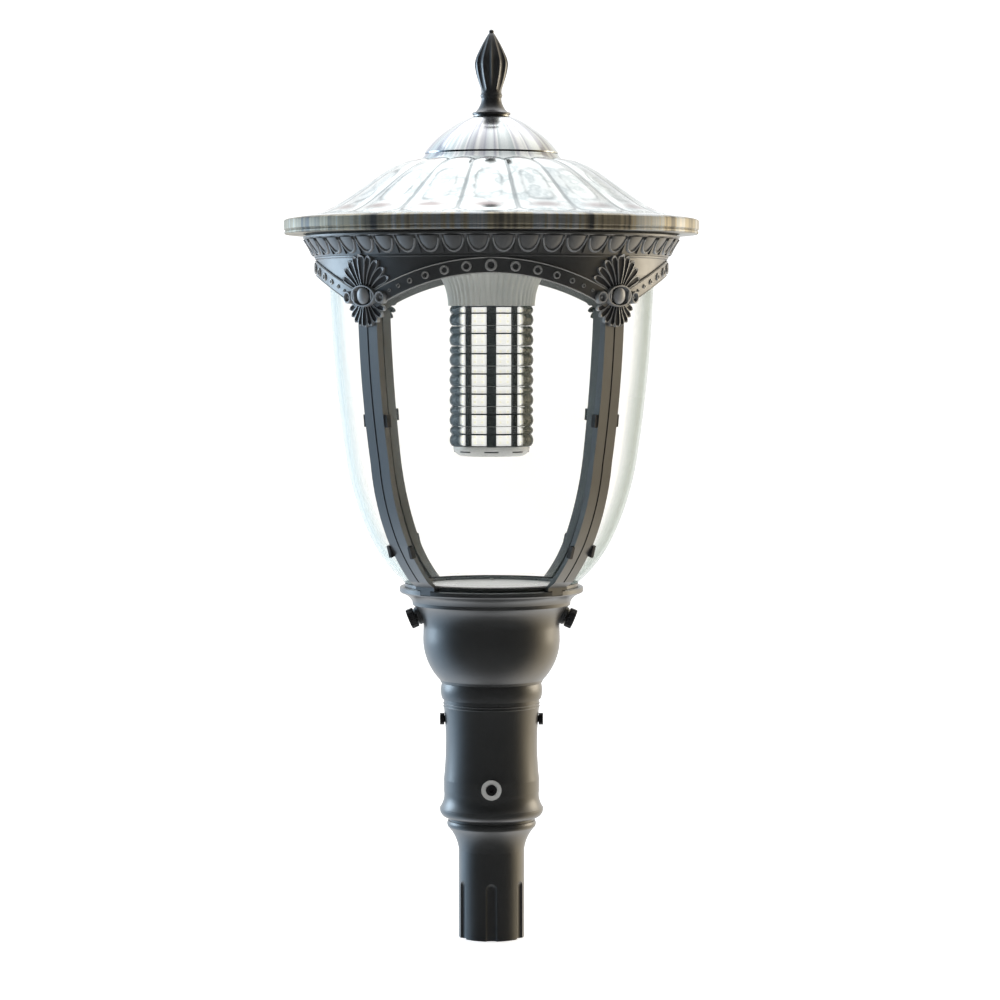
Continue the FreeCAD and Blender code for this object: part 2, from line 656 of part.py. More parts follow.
def build_cup():
    """Belly, flare and lip, open at the top, with pillars, clamp bosses and rib notches."""
    seat_up = "cup_height - cup_seat_depth"
    body = turned("cup_turning", (
        ("gland_radius + part_gap", "0"),
        ("cup_foot_edge", "0"),
        ("cup_foot_radius", "cup_foot_height", 1.25),
        ("cup_belly_radius", "cup_belly_height"),
        ("cup_belly_radius - 0.3", "cup_waist_height", -1.05),
        ("cup_flare_radius", "cup_flare_height"),
        ("cup_flare_radius + 0.5", "cup_flare_height + 4", -1.3),
        ("cup_lip_radius - 1.5", "cup_height - cup_lip_height"),
        ("cup_lip_radius", "cup_height - cup_lip_height + 1.5"),
        ("cup_lip_radius", "cup_height - 1"),
        ("cup_lip_radius - 1", "cup_height"),
        ("cup_seat_radius", "cup_height"),
        ("cup_seat_radius", seat_up),
        ("cup_flare_radius - 4", seat_up),
        ("cup_flare_radius - 4", "cup_flare_height + 5"),
        ("cup_belly_radius - cup_wall", "cup_waist_height + 7"),
        ("cup_belly_radius - cup_wall", "cup_belly_height * 0.62"),
        ("cup_foot_radius - cup_wall", "cup_floor"),
        ("gland_radius + part_gap", "cup_floor"),
    ), CUP_UP)
    pillars = doc.addObject("Part::Feature", "cup_pillars")
    pillars.Shape = Part.makeCompound(rods(
        number("pillar_radius"), number("pillar_height + cup_floor / 2"),
        [(point("pillar_circle", angle, FLOOR_UP + " - cup_floor / 2"), FreeCAD.Vector(0, 0, 1))
         for angle in (90, 210, 330)]))
    bosses = doc.addObject("Part::Feature", "cup_bosses")
    boss_inside = number("cup_wall") * 0.8
    bosses.Shape = Part.makeCompound(rods(
        number("clamp_boss_radius"), number("clamp_boss_height") + boss_inside, clamp_seats(-boss_inside)))
    whole = fuse("cup_casting", body, pillars, bosses)
    drill = doc.addObject("Part::Feature", "cup_drill")
    holes = rods(loose("clamp_shank_radius"), 40, clamp_seats(-30))
    holes += rods(loose("small_screw_radius"), number("pillar_height"),
                  [(point("pillar_circle", angle, FLOOR_UP + " + 2"), FreeCAD.Vector(0, 0, 1))
                   for angle in (90, 210, 330)])
    holes += rods(loose("collar_bolt_radius"), number("cup_floor") + 2,
                  [(point("collar_bolt_circle", angle, CUP_UP + " - 1"), FreeCAD.Vector(0, 0, 1))
                   for angle in (30, 150, 270)])
    drill.Shape = Part.makeCompound(holes)
    notches = doc.addObject("Part::Feature", "cup_notches")
    depth = number("tab_depth + 2 * part_gap")
    width = number("tab_width + 2 * part_gap")
    notch = Part.makeBox(30, width, depth + 1, FreeCAD.Vector(number("cup_seat_radius") - 1, -width / 2,
                                                             number(LIP_UP) - depth))
    notches.Shape = Part.makeCompound([turned_copy(notch, angle) for angle in RIB_ANGLES.values()])
    keep(cut("cup", whole, drill, notches), "cup")


def build_cup_contents():
    """Bolts, gland, driver tray, driver, terminal block, earth screw."""
    up = FreeCAD.Vector(0, 0, 1)
    screws("collar_bolts", [(point("collar_bolt_circle", angle, FLOOR_UP), up) for angle in (30, 150, 270)],
           number("collar_bolt_radius"), number("cup_floor + collar_flange_height - 1"), 5, 5)
    thread = cylinder("gland_thread", "gland_radius", "cup_floor + 5", ("0", "0", CUP_UP))
    flange = cylinder("gland_flange", "gland_radius + 4", "4", ("0", "0", FLOOR_UP))
    tail = cylinder("gland_tail", "gland_radius + 3", "12", ("0", "0", CUP_UP + " - 12"))
    bore = cylinder("gland_bore", "gland_radius - 5", "60", ("0", "0", CUP_UP + " - 30"))
    keep(cut("cable_gland", fuse("gland_solid", thread, flange, tail), bore), "cable_gland")
    disc = cylinder("tray_disc", "tray_radius", "tray_thickness", ("0", "0", TRAY_UP))
    pass_hole = cylinder("tray_cable_hole", "7", "tray_thickness",
                         ("0", "-(driver_width / 2 + 18)", TRAY_UP))
    drill = doc.addObject("Part::Feature", "tray_drill")
    seats = [(point("pillar_circle", angle, DECK_UP), up) for angle in (90, 210, 330)]
    earth = point("54", 150, DECK_UP)
    drill.Shape = Part.makeCompound(rods(loose("small_screw_radius"), 12,
                                         [(seat - up * 6, up) for seat, _ in seats])
                                    + rods(loose("fine_screw_radius"), 12, [(earth - up * 6, up)]))
    keep(cut("driver_tray", disc, pass_hole, drill), "driver_tray")
    screws("tray_screws", seats, number("small_screw_radius"),
           number("tray_thickness + pillar_height - 4"), 3.6, 3)
    driver = block("driver_case", "driver_length", "driver_width", "driver_height",
                   ("-driver_length / 2", "-driver_width / 2 - 8", DECK_UP))
    keep(driver, "led_driver")
    terminal = block("terminal_case", "terminal_length", "terminal_width", "terminal_height",
                     ("-terminal_length / 2", "driver_width / 2 - 8 + 2", DECK_UP))
    drill = doc.addObject("Part::Feature", "terminal_ports")
    row_up = DECK_UP + " + terminal_height"
    drill.Shape = Part.makeCompound(
        [Part.makeCylinder(2.4, 6, FreeCAD.Vector(x, number("driver_width / 2 + 3"), number(row_up) - 6))
         for x in (-12, 0, 12)])
    keep(cut("terminal_block", terminal, drill), "terminal_block")
    screws("earth_screw", [(earth, up)], number("fine_screw_radius"), 1.6, 4, 3)


def build_clamps():
    """Knob screws in the flare, each with a captive washer."""
    tilt = number("clamp_tilt")
    seat_out = number("clamp_boss_height + part_gap")
    washer_height = number("clamp_washer_height")
    inside = number("(clamp_radius - clamp_lug_radius) / cos(clamp_tilt)"
                    " - clamp_shank_radius * tan(clamp_tilt) - part_gap")
    knob_radius = number("clamp_knob_radius")
    knob_height = number("clamp_knob_height")
    for side, (seat, direction) in zip(("right", "left"), clamp_seats(seat_out)):
        washer = Part.makeCylinder(number("clamp_knob_radius - 2"), washer_height, seat, direction)
        hole = Part.makeCylinder(loose("clamp_shank_radius"), washer_height, seat, direction)
        item = doc.addObject("Part::Feature", side + "_clamp_washer")
        item.Shape = washer.cut(hole)
        keep(item, side + "_clamp_washer")
        head_seat = seat + direction * (washer_height + 0.05)
        knob = Part.makeCylinder(knob_radius, knob_height, head_seat, direction)
        rim = [edge for edge in knob.Edges if edge.Closed]
        knob = knob.makeFillet(1.2, rim)
        turn = facing(direction)
        for k in range(12):
            angle = math.radians(30 * k)
            spot = turn.multVec(FreeCAD.Vector(math.cos(angle), math.sin(angle), 0)) * (knob_radius + 0.8)
            grip = Part.makeCylinder(1.7, knob_height + 2, head_seat + spot - direction, direction)
            knob = knob.cut(grip)
        shank_length = inside + seat_out + washer_height
        shank = Part.makeCylinder(number("clamp_shank_radius"), shank_length + 1,
                                  head_seat - direction * shank_length, direction)
        item = doc.addObject("Part::Feature", side + "_clamp_screw")
        item.Shape = knob.fuse(shank).removeSplitter()
        keep(item, side + "_clamp_screw")


# ---------------------------------------------------------------- cage: base ring, ribs, crown

def build_cage_ring():
    """Ring between the rib feet, with a ledge for the cover and two lugs for the clamp screws."""
    body = turned("cage_ring_turning", (
        ("ring_inner_radius", "0"),
        ("cup_seat_radius - part_gap", "0"),
        ("cup_seat_radius - part_gap", "cup_seat_depth + part_gap"),
        ("ring_flange_radius", "cup_seat_depth + part_gap"),
        ("ring_flange_radius", "ring_height"),
        ("ring_cover_radius", "ring_height"),
        ("ring_cover_radius", "ring_ledge_height"),
        ("ring_inner_radius", "ring_ledge_height"),
    ), RING_UP)
    lugs = []
    inner = "clamp_lug_radius - clamp_lug_thickness"
    for side, sign in (("right", 1), ("left", -1)):
        low_x = inner if sign > 0 else "-clamp_lug_radius"
        arm_x = inner if sign > 0 else "-(ring_inner_radius + 1)"
        lugs.append(block(side + "_lug_drop", "clamp_lug_thickness", "clamp_lug_width",
                          "clamp_lug_drop + clamp_lug_thickness",
                          (low_x, "-clamp_lug_width / 2", RING_UP + " - clamp_lug_drop")))
        lugs.append(block(side + "_lug_arm", "ring_inner_radius + 1 - (" + inner + ")", "clamp_lug_width",
                          "clamp_lug_thickness", (arm_x, "-clamp_lug_width / 2", RING_UP)))
    whole = fuse("cage_ring_casting", body, *lugs)
    drill = doc.addObject("Part::Feature", "cage_ring_drill")
    up = FreeCAD.Vector(0, 0, 1)
    holes = rods(loose("fine_screw_radius"), 6,
                 [(point("ring_inner_radius + 3", angle, RING_UP + " + ring_ledge_height - 5"), up)
                  for angle in COVER_SCREW_ANGLES])
    holes += rods(loose("fine_screw_radius"), 30, foot_screw_seats("ring_cover_radius - 5"))
    notch_width = number("wire_channel_width")
    corner = FreeCAD.Vector(number("ring_flange_radius") - 8, -notch_width / 2, number(RING_UP) - 1)
    notch = Part.makeBox(20, notch_width, number("ring_height") + 2, corner)
    holes += [turned_copy(notch, angle) for angle in RIB_ANGLES.values()]
    drill.Shape = Part.makeCompound(holes)
    keep(cut("cage_base_ring", whole, drill), "cage_base_ring")


def foot_screw_seats(radius):
    """Two level screws into each rib foot, either side of the wire channel."""
    up = RING_UP + " + (cup_seat_depth + part_gap + ring_height) / 2"
    aside = number("foot_screw_offset")
    return [(point(radius, angle, up) + outward(angle + 90) * offset, outward(angle))
            for angle in RIB_ANGLES.values() for offset in (-aside, aside)]


def top_screw_seats(radius):
    """Two level screws through each rib tongue and the crown skirt."""
    up = CROWN_UP + " + top_screw_height"
    aside = number("top_screw_offset")
    return [(point(radius, angle, up) + outward(angle + 90) * offset, outward(angle))
            for angle in RIB_ANGLES.values() for offset in (-aside, aside)]


def bowl_side(offset):
    """The bowl's outer curve from the foot up, moved out by an offset, above the bowl foot."""
    return (
        (f"bowl_foot_radius + ({offset}) * 1.4", "0", 2.5),
        (f"bowl_low_radius + ({offset}) * 1.2", "bowl_low_height", 3.4),
        (f"bowl_mid_radius + ({offset}) * 1.1", "bowl_mid_height", 9.5),
        (f"bowl_high_radius + ({offset})", "bowl_high_height"),
    )


def lifted(corners, up):
    """The corners of an outline, raised by a formula."""
    return tuple((corner[0], f"({corner[1]}) + {up}") + tuple(corner[2:]) for corner in corners)


def reversed_side(corners):
    """The same curve drawn from its far end back to its near end."""
    back = []
    for i in range(len(corners) - 1, -1, -1):
        bend = corners[i - 1][2:] if i else ()
        back.append(tuple(corners[i][:2]) + tuple(-b for b in bend))
    return tuple(back)


def build_rib(side, angle):
    """One rib: foot with a tab, curved bar with a centre groove and a wire channel, top tongue."""
    body = doc.addObject("PartDesign::Body", side + "_rib_casting")
    foot_inner = "ring_flange_radius + part_gap / 2"
    inner = lifted(bowl_side("rib_gap"), FOOT_STEP)
    pad_slab(body, (
        (foot_inner, "0"),
        ("rib_foot_radius", "0"),
        ("rib_foot_radius", "rib_foot_height"),
    ) + RIB_FACE + reversed_side(inner) + (
        (foot_inner, FOOT_STEP + " - gasket_thickness + part_gap / 2"),
    ), "rib_width")
    pad_slab(body, (
        (TONGUE_OUT + " - tongue_thickness", RIB_TOP + " - 5"),
        (TONGUE_OUT, RIB_TOP + " - 5"),
        (TONGUE_OUT, RIB_TOP + " + tongue_height"),
        (TONGUE_OUT + " - tongue_thickness", RIB_TOP + " + tongue_height"),
    ), "tongue_width")
    cut_slab(body, (
        ("rib_low_radius - rib_groove_depth", "rib_low_height", 4.7),
        ("rib_mid_radius - rib_groove_depth", "rib_mid_height", 2.7),
        ("rib_high_radius - rib_groove_depth", "rib_high_height", 6.6),
        ("crown_foot_radius - rib_groove_depth", RIB_TOP + " + 1"),
        ("crown_foot_radius + 3", RIB_TOP + " + 1", -6.6),
        ("rib_high_radius + 3", "rib_high_height", -2.7),
        ("rib_mid_radius + 3", "rib_mid_height", -4.7),
        ("rib_low_radius + 3", "rib_low_height"),
    ), "rib_groove_width")
    channel = lifted(bowl_side("rib_gap + wire_channel_depth"), FOOT_STEP)
    cut_slab(body, channel + (
        (TONGUE_OUT + " + 0.5", RIB_TOP + " + 0.5"),
        (TONGUE_OUT + " + 0.5", RIB_TOP + " + tongue_height + 1"),
        ("bowl_high_radius - 3", RIB_TOP + " + tongue_height + 1"),
    ) + reversed_side(lifted(bowl_side("-3"), FOOT_STEP)), "wire_channel_width")
    tab = block(side + "_tab", "cup_lip_radius - 0.5 - (" + foot_inner + ")", "tab_width", "tab_depth + 1",
                (foot_inner, "-tab_width / 2", "-tab_depth"))
    foot_slot = block(side + "_foot_slot", "wire_channel_depth + 5", "wire_channel_width",
                      "tab_depth + " + FOOT_STEP + " + 1",
                      ("ring_flange_radius - 5", "-wire_channel_width / 2", "-tab_depth"))
    whole = cut(side + "_rib_whole", fuse(side + "_rib_solid", body, tab), foot_slot)
    place(whole, ("0", "0", LIP_UP), FreeCAD.Rotation(FreeCAD.Vector(0, 0, 1), angle))
    drill = doc.addObject("Part::Feature", side + "_rib_drill")
    drill.Shape = Part.makeCompound(
        rods(loose("fine_screw_radius"), number("rib_foot_radius - ring_flange_radius") + 1,
             foot_screw_seats("ring_flange_radius - 2"))
        + rods(loose("small_screw_radius"), 20, top_screw_seats("bowl_high_radius - 3")))
    keep(cut("rib_" + side, whole, drill), "rib_" + side)


def pins(label, radius, length, seats):
    """A group of headless screws with a driver socket in the near end."""
    solids = []
    for pin, (seat, direction) in zip(rods(radius, length, seats), seats):
        solids.append(pin.cut(Part.makeCylinder(radius * 0.5, 1.5, seat, direction)))
    group = doc.addObject("Part::Feature", label)
    group.Shape = Part.makeCompound(solids)
    keep(group, label)


def build_rib_fasteners():
    """Headless screws at the feet and the tongues, and the clips that steady the bowl."""
    pins("rib_foot_screws", number("fine_screw_radius"), number("rib_foot_radius - ring_cover_radius") - 3,
         foot_screw_seats("ring_cover_radius + 0.8"))
    pins("rib_top_screws", number("small_screw_radius"), number("crown_foot_radius - bowl_high_radius"),
         top_screw_seats(TONGUE_OUT + " - tongue_thickness + 0.2"))
    clips = []
    clip_length = number("clip_length")
    for height, low, high in (("clip_low_height", "low", "mid"), ("clip_high_height", "mid", "high")):
        span = number(f"bowl_{high}_height - bowl_{low}_height")
        rise = number(f"bowl_{high}_radius - bowl_{low}_radius")
        share = number(f"{height} - bowl_{low}_height - {FOOT_STEP}") / span
        middle = number(f"bowl_{low}_radius + rib_gap * 3") + share * rise
        for side in (-1, 1):
            clip = Part.makeBox(6, 4, clip_length, FreeCAD.Vector(0, -2, -clip_length / 2))
            clip.rotate(FreeCAD.Vector(), FreeCAD.Vector(0, 1, 0), math.degrees(math.atan2(rise, span)))
            clip.translate(FreeCAD.Vector(middle, side * (number("rib_width") / 2 + 2),
                                          number(LIP_UP) + number(height)))
            clips += [turned_copy(clip, angle) for angle in RIB_ANGLES.values()]
    group = doc.addObject("Part::Feature", "bowl_clips")
    group.Shape = Part.makeCompound(clips)
    keep(group, "bowl_clips")


def arch_bar(name, radius, along_x):
    """A level round bar through the whole crown, under the top of an arch."""
    direction = FreeCAD.Vector(1, 0, 0) if along_x else FreeCAD.Vector(0, 1, 0)
    start = ("-crown_lip_radius - 20", "0") if along_x else ("0", "-crown_lip_radius - 20")
    return cylinder(name, radius, "2 * crown_lip_radius + 40",
                    start + (CROWN_UP + " + arch_rise - arch_radius",), facing(direction))


def build_crown():
    """Crown ring: skirt with four arches and their bands, cove for the eggs, ledges inside."""
    ledge_up = "(bowl_height - bowl_high_height - bowl_flange_thickness - flange_gasket_thickness)"
    inside = (
        ("crown_step_radius", "crown_height"),
        ("crown_step_radius", "crown_height - crown_step_depth"),
        ("crown_bore_radius", "crown_height - crown_step_depth"),
        ("crown_bore_radius", ledge_up),
        ("ledge_radius", ledge_up),
        ("ledge_radius", ledge_up + " - ledge_thickness"),
        ("skirt_high_radius - skirt_wall", ledge_up + " - ledge_thickness - 3"),
        ("skirt_high_radius - skirt_wall", "skirt_high_height"),
        ("skirt_low_radius - skirt_wall", "skirt_low_height"),
        ("crown_foot_radius - skirt_wall", "0"),
    )
    skirt = (
        ("crown_foot_radius", "0"),
        ("skirt_low_radius", "skirt_low_height"),
        ("skirt_high_radius", "skirt_high_height"),
    )
    blank = turned("crown_turning", skirt + (
        ("skirt_top_radius", "skirt_top_height"),
        ("skirt_top_radius + 1.8", "skirt_top_height", 0.6),
        ("skirt_top_radius + 1.8", "skirt_top_height + egg_bead_height"),
        ("egg_band_foot", "skirt_top_height + egg_bead_height", -2.2),
        ("egg_band_head", "skirt_top_height + egg_bead_height + egg_band_height"),
        ("crown_lip_radius", "crown_height - 2"),
        ("crown_lip_radius", "crown_height"),
    ) + inside, CROWN_UP)
    relief = turned("arch_relief_turning", (
        ("crown_foot_radius - 1", "0"),
        ("crown_foot_radius + arch_band_relief", "0"),
        ("skirt_low_radius + arch_band_relief", "skirt_low_height"),
        ("skirt_high_radius + arch_band_relief", "skirt_high_height"),
        ("skirt_top_radius + arch_band_relief", "skirt_top_height"),
        ("skirt_top_radius - 1", "skirt_top_height"),
        ("skirt_high_radius - 1", "skirt_high_height"),
        ("skirt_low_radius - 1", "skirt_low_height"),
    ), CROWN_UP)
    bands = []
    openings = []
    for along_x in (False, True):
        tag = "x" if along_x else "y"
        band = doc.addObject("Part::Common", "arch_relief_" + tag)
        band.Base = relief
        band.Tool = arch_bar("arch_band_" + tag, "arch_radius + arch_band_width", along_x)
        bands.append(band)
        openings.append(arch_bar("arch_opening_" + tag, "arch_radius", along_x))
    casting = fuse("crown_casting", blank, *bands)
    up = FreeCAD.Vector(0, 0, 1)
    low = CROWN_UP + " + crown_height - crown_step_depth - 7"
    seats = [(point("retainer_lip_radius - 3.6", angle, low), up) for angle in RETAINER_SCREW_ANGLES]
    drill = doc.addObject("Part::Feature", "crown_drill")
    drill.Shape = Part.makeCompound(rods(loose("small_screw_radius"), 20, top_screw_seats("bowl_high_radius"))
                                    + rods(loose("fine_screw_radius"), 8, seats))
    keep(cut("crown_ring", casting, openings[0], openings[1], drill), "crown_ring")


def petal(length, tip, lean):
    """A tapered petal with a round tip that leans from straight up, in the palmette's plane."""
    bar = Part.makeCone(tip * 0.55, tip, length - tip)
    bar = bar.fuse(Part.makeSphere(tip, FreeCAD.Vector(0, 0, length - tip)))
    bar.rotate(FreeCAD.Vector(), FreeCAD.Vector(1, 0, 0), lean)
    return bar


def palmette_blank():
    """Nine petals up, seven down, an oval boss and two scrolls, standing out along +X."""
    deep = number("palmette_depth")
    upper_length = number("upper_petal_length")
    lower_length = number("lower_petal_length")
    tip = number("petal_radius")
    upper = [petal(upper_length * (1 - 0.045 * abs(k) ** 1.35), tip, 15.5 * k) for k in range(-4, 5)]
    lower = [petal(lower_length * (1 - 0.07 * abs(k) ** 1.3), tip * 0.85, 180 + 17 * k)
             for k in range(-3, 4)]
    stretch = FreeCAD.Matrix()
    stretch.scale(deep * 0.5, number("boss_width") / 2, number("boss_height") / 2)
    boss = Part.makeSphere(1).transformGeometry(stretch)
    pieces = upper[1:] + lower + [boss]
    spacing = number("scroll_spacing")
    along = FreeCAD.Vector(1, 0, 0)
    for sign in (-1, 1):
        pieces.append(Part.makeCylinder(number("scroll_radius"), deep * 0.45,
                                        FreeCAD.Vector(-deep * 0.1, sign * spacing, 0), along))
        corner = FreeCAD.Vector(0, min(0, sign * spacing), -2.5)
        pieces.append(Part.makeBox(deep * 0.35, spacing, 5, corner))
    return upper[0].multiFuse(pieces)


def build_palmettes():
    """The four ornaments over the rib tops, each shaped to the skirt and the rib behind it."""
    blank = palmette_blank()
    back = number("crown_foot_radius + part_gap")
    spread = number("skirt_high_radius - crown_foot_radius")
    low = number(CROWN_UP)
    tall = number("skirt_high_height")
    behind = Part.makeBox(60, 200, 100, FreeCAD.Vector(back - 60, -100, low - 100))
    foot = FreeCAD.Vector(0, 0, low)
    cone = Part.makeCone(back, back + spread * 1.6, tall * 1.6, foot)
    proud = back + number("arch_band_relief")
    reach = 2 * proud
    centre_up = number(CROWN_UP + " + arch_rise - arch_radius")
    bars = [Part.makeCylinder(number("arch_radius + arch_band_width + part_gap"), reach * 2,
                              FreeCAD.Vector(0, 0, centre_up) - along * reach, along)
            for along in (FreeCAD.Vector(1, 0, 0), FreeCAD.Vector(0, 1, 0))]
    bands = Part.makeCone(proud, proud + spread * 1.6, tall * 1.6, foot).common(bars[0].fuse(bars[1]))
    for side, angle in RIB_ANGLES.items():
        item = blank.copy()
        item.rotate(FreeCAD.Vector(), FreeCAD.Vector(0, 1, 0), number("skirt_lean"))
        item.translate(FreeCAD.Vector(number("skirt_low_radius") + 1.5, 0, low + number("palmette_height")))
        item = turned_copy(item.cut([behind, cone]), angle).cut(bands)
        item = item.cut(Part.makeCompound(rods(loose("small_screw_radius"),
                                               number("crown_foot_radius - bowl_high_radius") + 6,
                                               top_screw_seats("bowl_high_radius - 2"))))
        group = doc.addObject("Part::Feature", "palmette_" + side)
        group.Shape = max(item.Solids, key=lambda solid: solid.Volume)
        keep(group, "palmette_" + side)


# ---------------------------------------------------------------- bowl and what holds it

def build_bowl():
    """Clear bowl with a foot rim and a top flange, and its gaskets."""
    inner = reversed_side(bowl_side("-bowl_wall"))
    body = turned("bowl_turning", (("bowl_foot_inner", "0"),) + bowl_side("0") + (
        ("bowl_top_radius", "bowl_height - bowl_flange_thickness"),
        ("bowl_flange_radius", "bowl_height - bowl_flange_thickness"),
        ("bowl_flange_radius", "bowl_height"),
        ("bowl_top_radius - bowl_wall", "bowl_height"),
    ) + inner[:-2] + (
        inner[-2][:2] + (inner[-2][2],),
        ("bowl_foot_radius - bowl_wall * 0.9", "bowl_wall"),
        ("bowl_foot_inner", "bowl_wall"),
    ), BOWL_UP)
    keep(body, "bowl")
    foot = ring("foot_gasket", "bowl_foot_radius - 1.5", "bowl_foot_inner - 1", "gasket_thickness", GASKET_UP)
    keep(foot, "bowl_foot_gasket")
    gaskets = []
    for up in (FLANGE_TOP + " - bowl_flange_thickness - flange_gasket_thickness", FLANGE_TOP):
        low = FreeCAD.Vector(0, 0, number(up))
        disc = Part.makeCylinder(number("bowl_flange_radius"), number("flange_gasket_thickness"), low)
        hole = Part.makeCylinder(number("ledge_radius + 0.5"), 20, low - FreeCAD.Vector(0, 0, 5))
        gaskets.append(disc.cut(hole))
    group = doc.addObject("Part::Feature", "bowl_flange_gaskets")
    group.Shape = Part.makeCompound(gaskets)
    keep(group, "bowl_flange_gaskets")


def lamp_bolt_seats():
    """Bolts that hang the heat sink under the lamp tray."""
    return [(point("sink_top_radius * 0.6", angle, LAMP_TRAY_UP + " + lamp_tray_thickness"),
             FreeCAD.Vector(0, 0, 1)) for angle in (45, 135, 225, 315)]


def lamp_tray_screw_seats():
    """Screws that hold the lamp tray on the retaining ring."""
    return [(point("lamp_tray_radius - 4", angle, LAMP_TRAY_UP + " + lamp_tray_thickness"),
             FreeCAD.Vector(0, 0, 1)) for angle in TRAY_SCREW_ANGLES]


def build_retainer():
    """Ring that presses the bowl flange down and carries the lamp tray."""
    lip_up = "(crown_height - crown_step_depth + bowl_high_height - bowl_height - flange_gasket_thickness)"
    body = turned("retainer_turning", (
        ("retainer_inner", "0"),
        (RETAINER_OUT, "0"),
        (RETAINER_OUT, lip_up),
        ("retainer_lip_radius", lip_up),
        ("retainer_lip_radius", lip_up + " + retainer_lip_thickness"),
        (RETAINER_OUT + " - retainer_wall", lip_up + " + retainer_lip_thickness"),
        (RETAINER_OUT + " - retainer_wall", "retainer_thickness"),
        ("retainer_inner", "retainer_thickness"),
    ), RETAINER_UP)
    up = FreeCAD.Vector(0, 0, 1)
    lip_top = CROWN_UP + " + crown_height - crown_step_depth + retainer_lip_thickness"
    seats = [(point("retainer_lip_radius - 3.6", angle, lip_top), up) for angle in RETAINER_SCREW_ANGLES]
    small = number("fine_screw_radius")
    below = [(seat - up * 6, up) for seat, _ in seats]
    below += [(seat - up * 8, up) for seat, _ in lamp_tray_screw_seats()]
    drill = doc.addObject("Part::Feature", "retainer_drill")
    drill.Shape = Part.makeCompound(rods(loose("fine_screw_radius"), 10, below))
    keep(cut("retaining_ring", body, drill), "retaining_ring")
    screws("retaining_screws", seats, small, number("retainer_lip_thickness + 5"), 2.8, 2)


def build_lamp_tray():
    """Disc that closes the bowl, with its screws and a grommet for the lead."""
    up = FreeCAD.Vector(0, 0, 1)
    thickness = number("lamp_tray_thickness")
    seat = point("grommet_circle", 20, LAMP_TRAY_UP + " + lamp_tray_thickness")
    disc = cylinder("lamp_tray_disc", "lamp_tray_radius", "lamp_tray_thickness", ("0", "0", LAMP_TRAY_UP))
    drill = doc.addObject("Part::Feature", "lamp_tray_drill")
    drill.Shape = Part.makeCompound(
        rods(loose("fine_screw_radius"), 10, [(spot - up * 6, up) for spot, _ in lamp_tray_screw_seats()])
        + rods(loose("small_screw_radius"), 10, [(spot - up * 6, up) for spot, _ in lamp_bolt_seats()])
        + rods(loose("tie_rod_radius"), 10, [(FreeCAD.Vector(0, 0, number(LAMP_TRAY_UP) - 3), up)])
        + rods(6, 10, [(seat - up * 6, up)]))
    keep(cut("lamp_tray", disc, drill), "lamp_tray")
    screws("lamp_tray_screws", lamp_tray_screw_seats(), number("fine_screw_radius"),
           thickness + number("retainer_thickness") - 1, 2.8, 2)
    plug = Part.makeCylinder(8, 2, seat, up)
    plug = plug.fuse(Part.makeCylinder(5.8, thickness + 0.5, seat - up * (thickness + 0.5), up))
    item = doc.addObject("Part::Feature", "lead_grommet")
    item.Shape = plug.cut(Part.makeCylinder(3, 20, seat - up * 10, up)).removeSplitter()
    keep(item, "lead_grommet")


# ---------------------------------------------------------------- lamp

def build_heat_sink():
    """Flared collar of the lamp and its bolts."""
    up = FreeCAD.Vector(0, 0, 1)
    sink = turned("sink_turning", (
        ("0", "0"),
        ("sink_foot_radius", "0", -2.4),
        ("sink_flare_radius", "sink_flare_height", -2.4),
        ("sink_top_radius", "sink_height"),
        ("0", "sink_height"),
    ), SINK_UP)
    rod_seat = FreeCAD.Vector(0, 0, number(LAMP_TRAY_UP + " - sink_height * 0.4"))
    nut_seat = FreeCAD.Vector(0, 0, number(LAMP_TRAY_UP + " - tie_nut_height - 0.5"))
    drill = doc.addObject("Part::Feature", "sink_drill")
    drill.Shape = Part.makeCompound(
        rods(loose("small_screw_radius"), 14, [(seat - up * 16, up) for seat, _ in lamp_bolt_seats()])
        + rods(loose("tie_rod_radius"), number("sink_height") * 0.5, [(rod_seat, up)])
        + rods(number("tie_nut_radius") + 1, number("tie_nut_height") + 1, [(nut_seat, up)]))
    keep(cut("heat_sink", sink, drill), "heat_sink")
    screws("lamp_bolts", lamp_bolt_seats(), number("small_screw_radius"),
           number("lamp_tray_thickness") + 10, 3.6, 3)


def build_light_engine():
    """Ten-sided core, LED boards on its flats, and the clear lens rings round it."""
    count = round(number("board_count"))
    core = doc.addObject("Part::Prism", "core_prism")
    core.Polygon = count
    bind(core, "Circumradius", "core_radius / cos(180 / board_count)")
    bind(core, "Height", "lens_count * lens_pitch")
    place(core, ("0", "0", TOWER_UP), FreeCAD.Rotation(FreeCAD.Vector(0, 0, 1), 180 / count))
    keep(core, "lamp_core")
    width = number("board_width")
    board = Part.makeBox(number("board_thickness"), width, number("lens_count * lens_pitch") - 6,
                         FreeCAD.Vector(number("core_radius"), -width / 2, number(TOWER_UP) + 3))
    group = doc.addObject("Part::Feature", "led_boards")
    group.Shape = Part.makeCompound([turned_copy(board, 360 * k / count) for k in range(count)])
    keep(group, "led_boards")
    small = "lens_height * 0.36"
    for k in range(round(number("lens_count"))):
        label = f"lens_ring_{k + 1}"
        keep(turned(label + "_turning", (
            ("lens_inner", "0"),
            ("lens_radius - 2.2", "0", 0.72),
            ("lens_radius - 2.2", small),
            ("lens_radius - 1.6", small, 0.86),
            ("lens_radius - 1.6", "lens_height"),
            ("lens_inner", "lens_height"),
        ), SINK_UP + f" - lens_pitch * {k + 1} + lens_pitch - lens_height"), label)


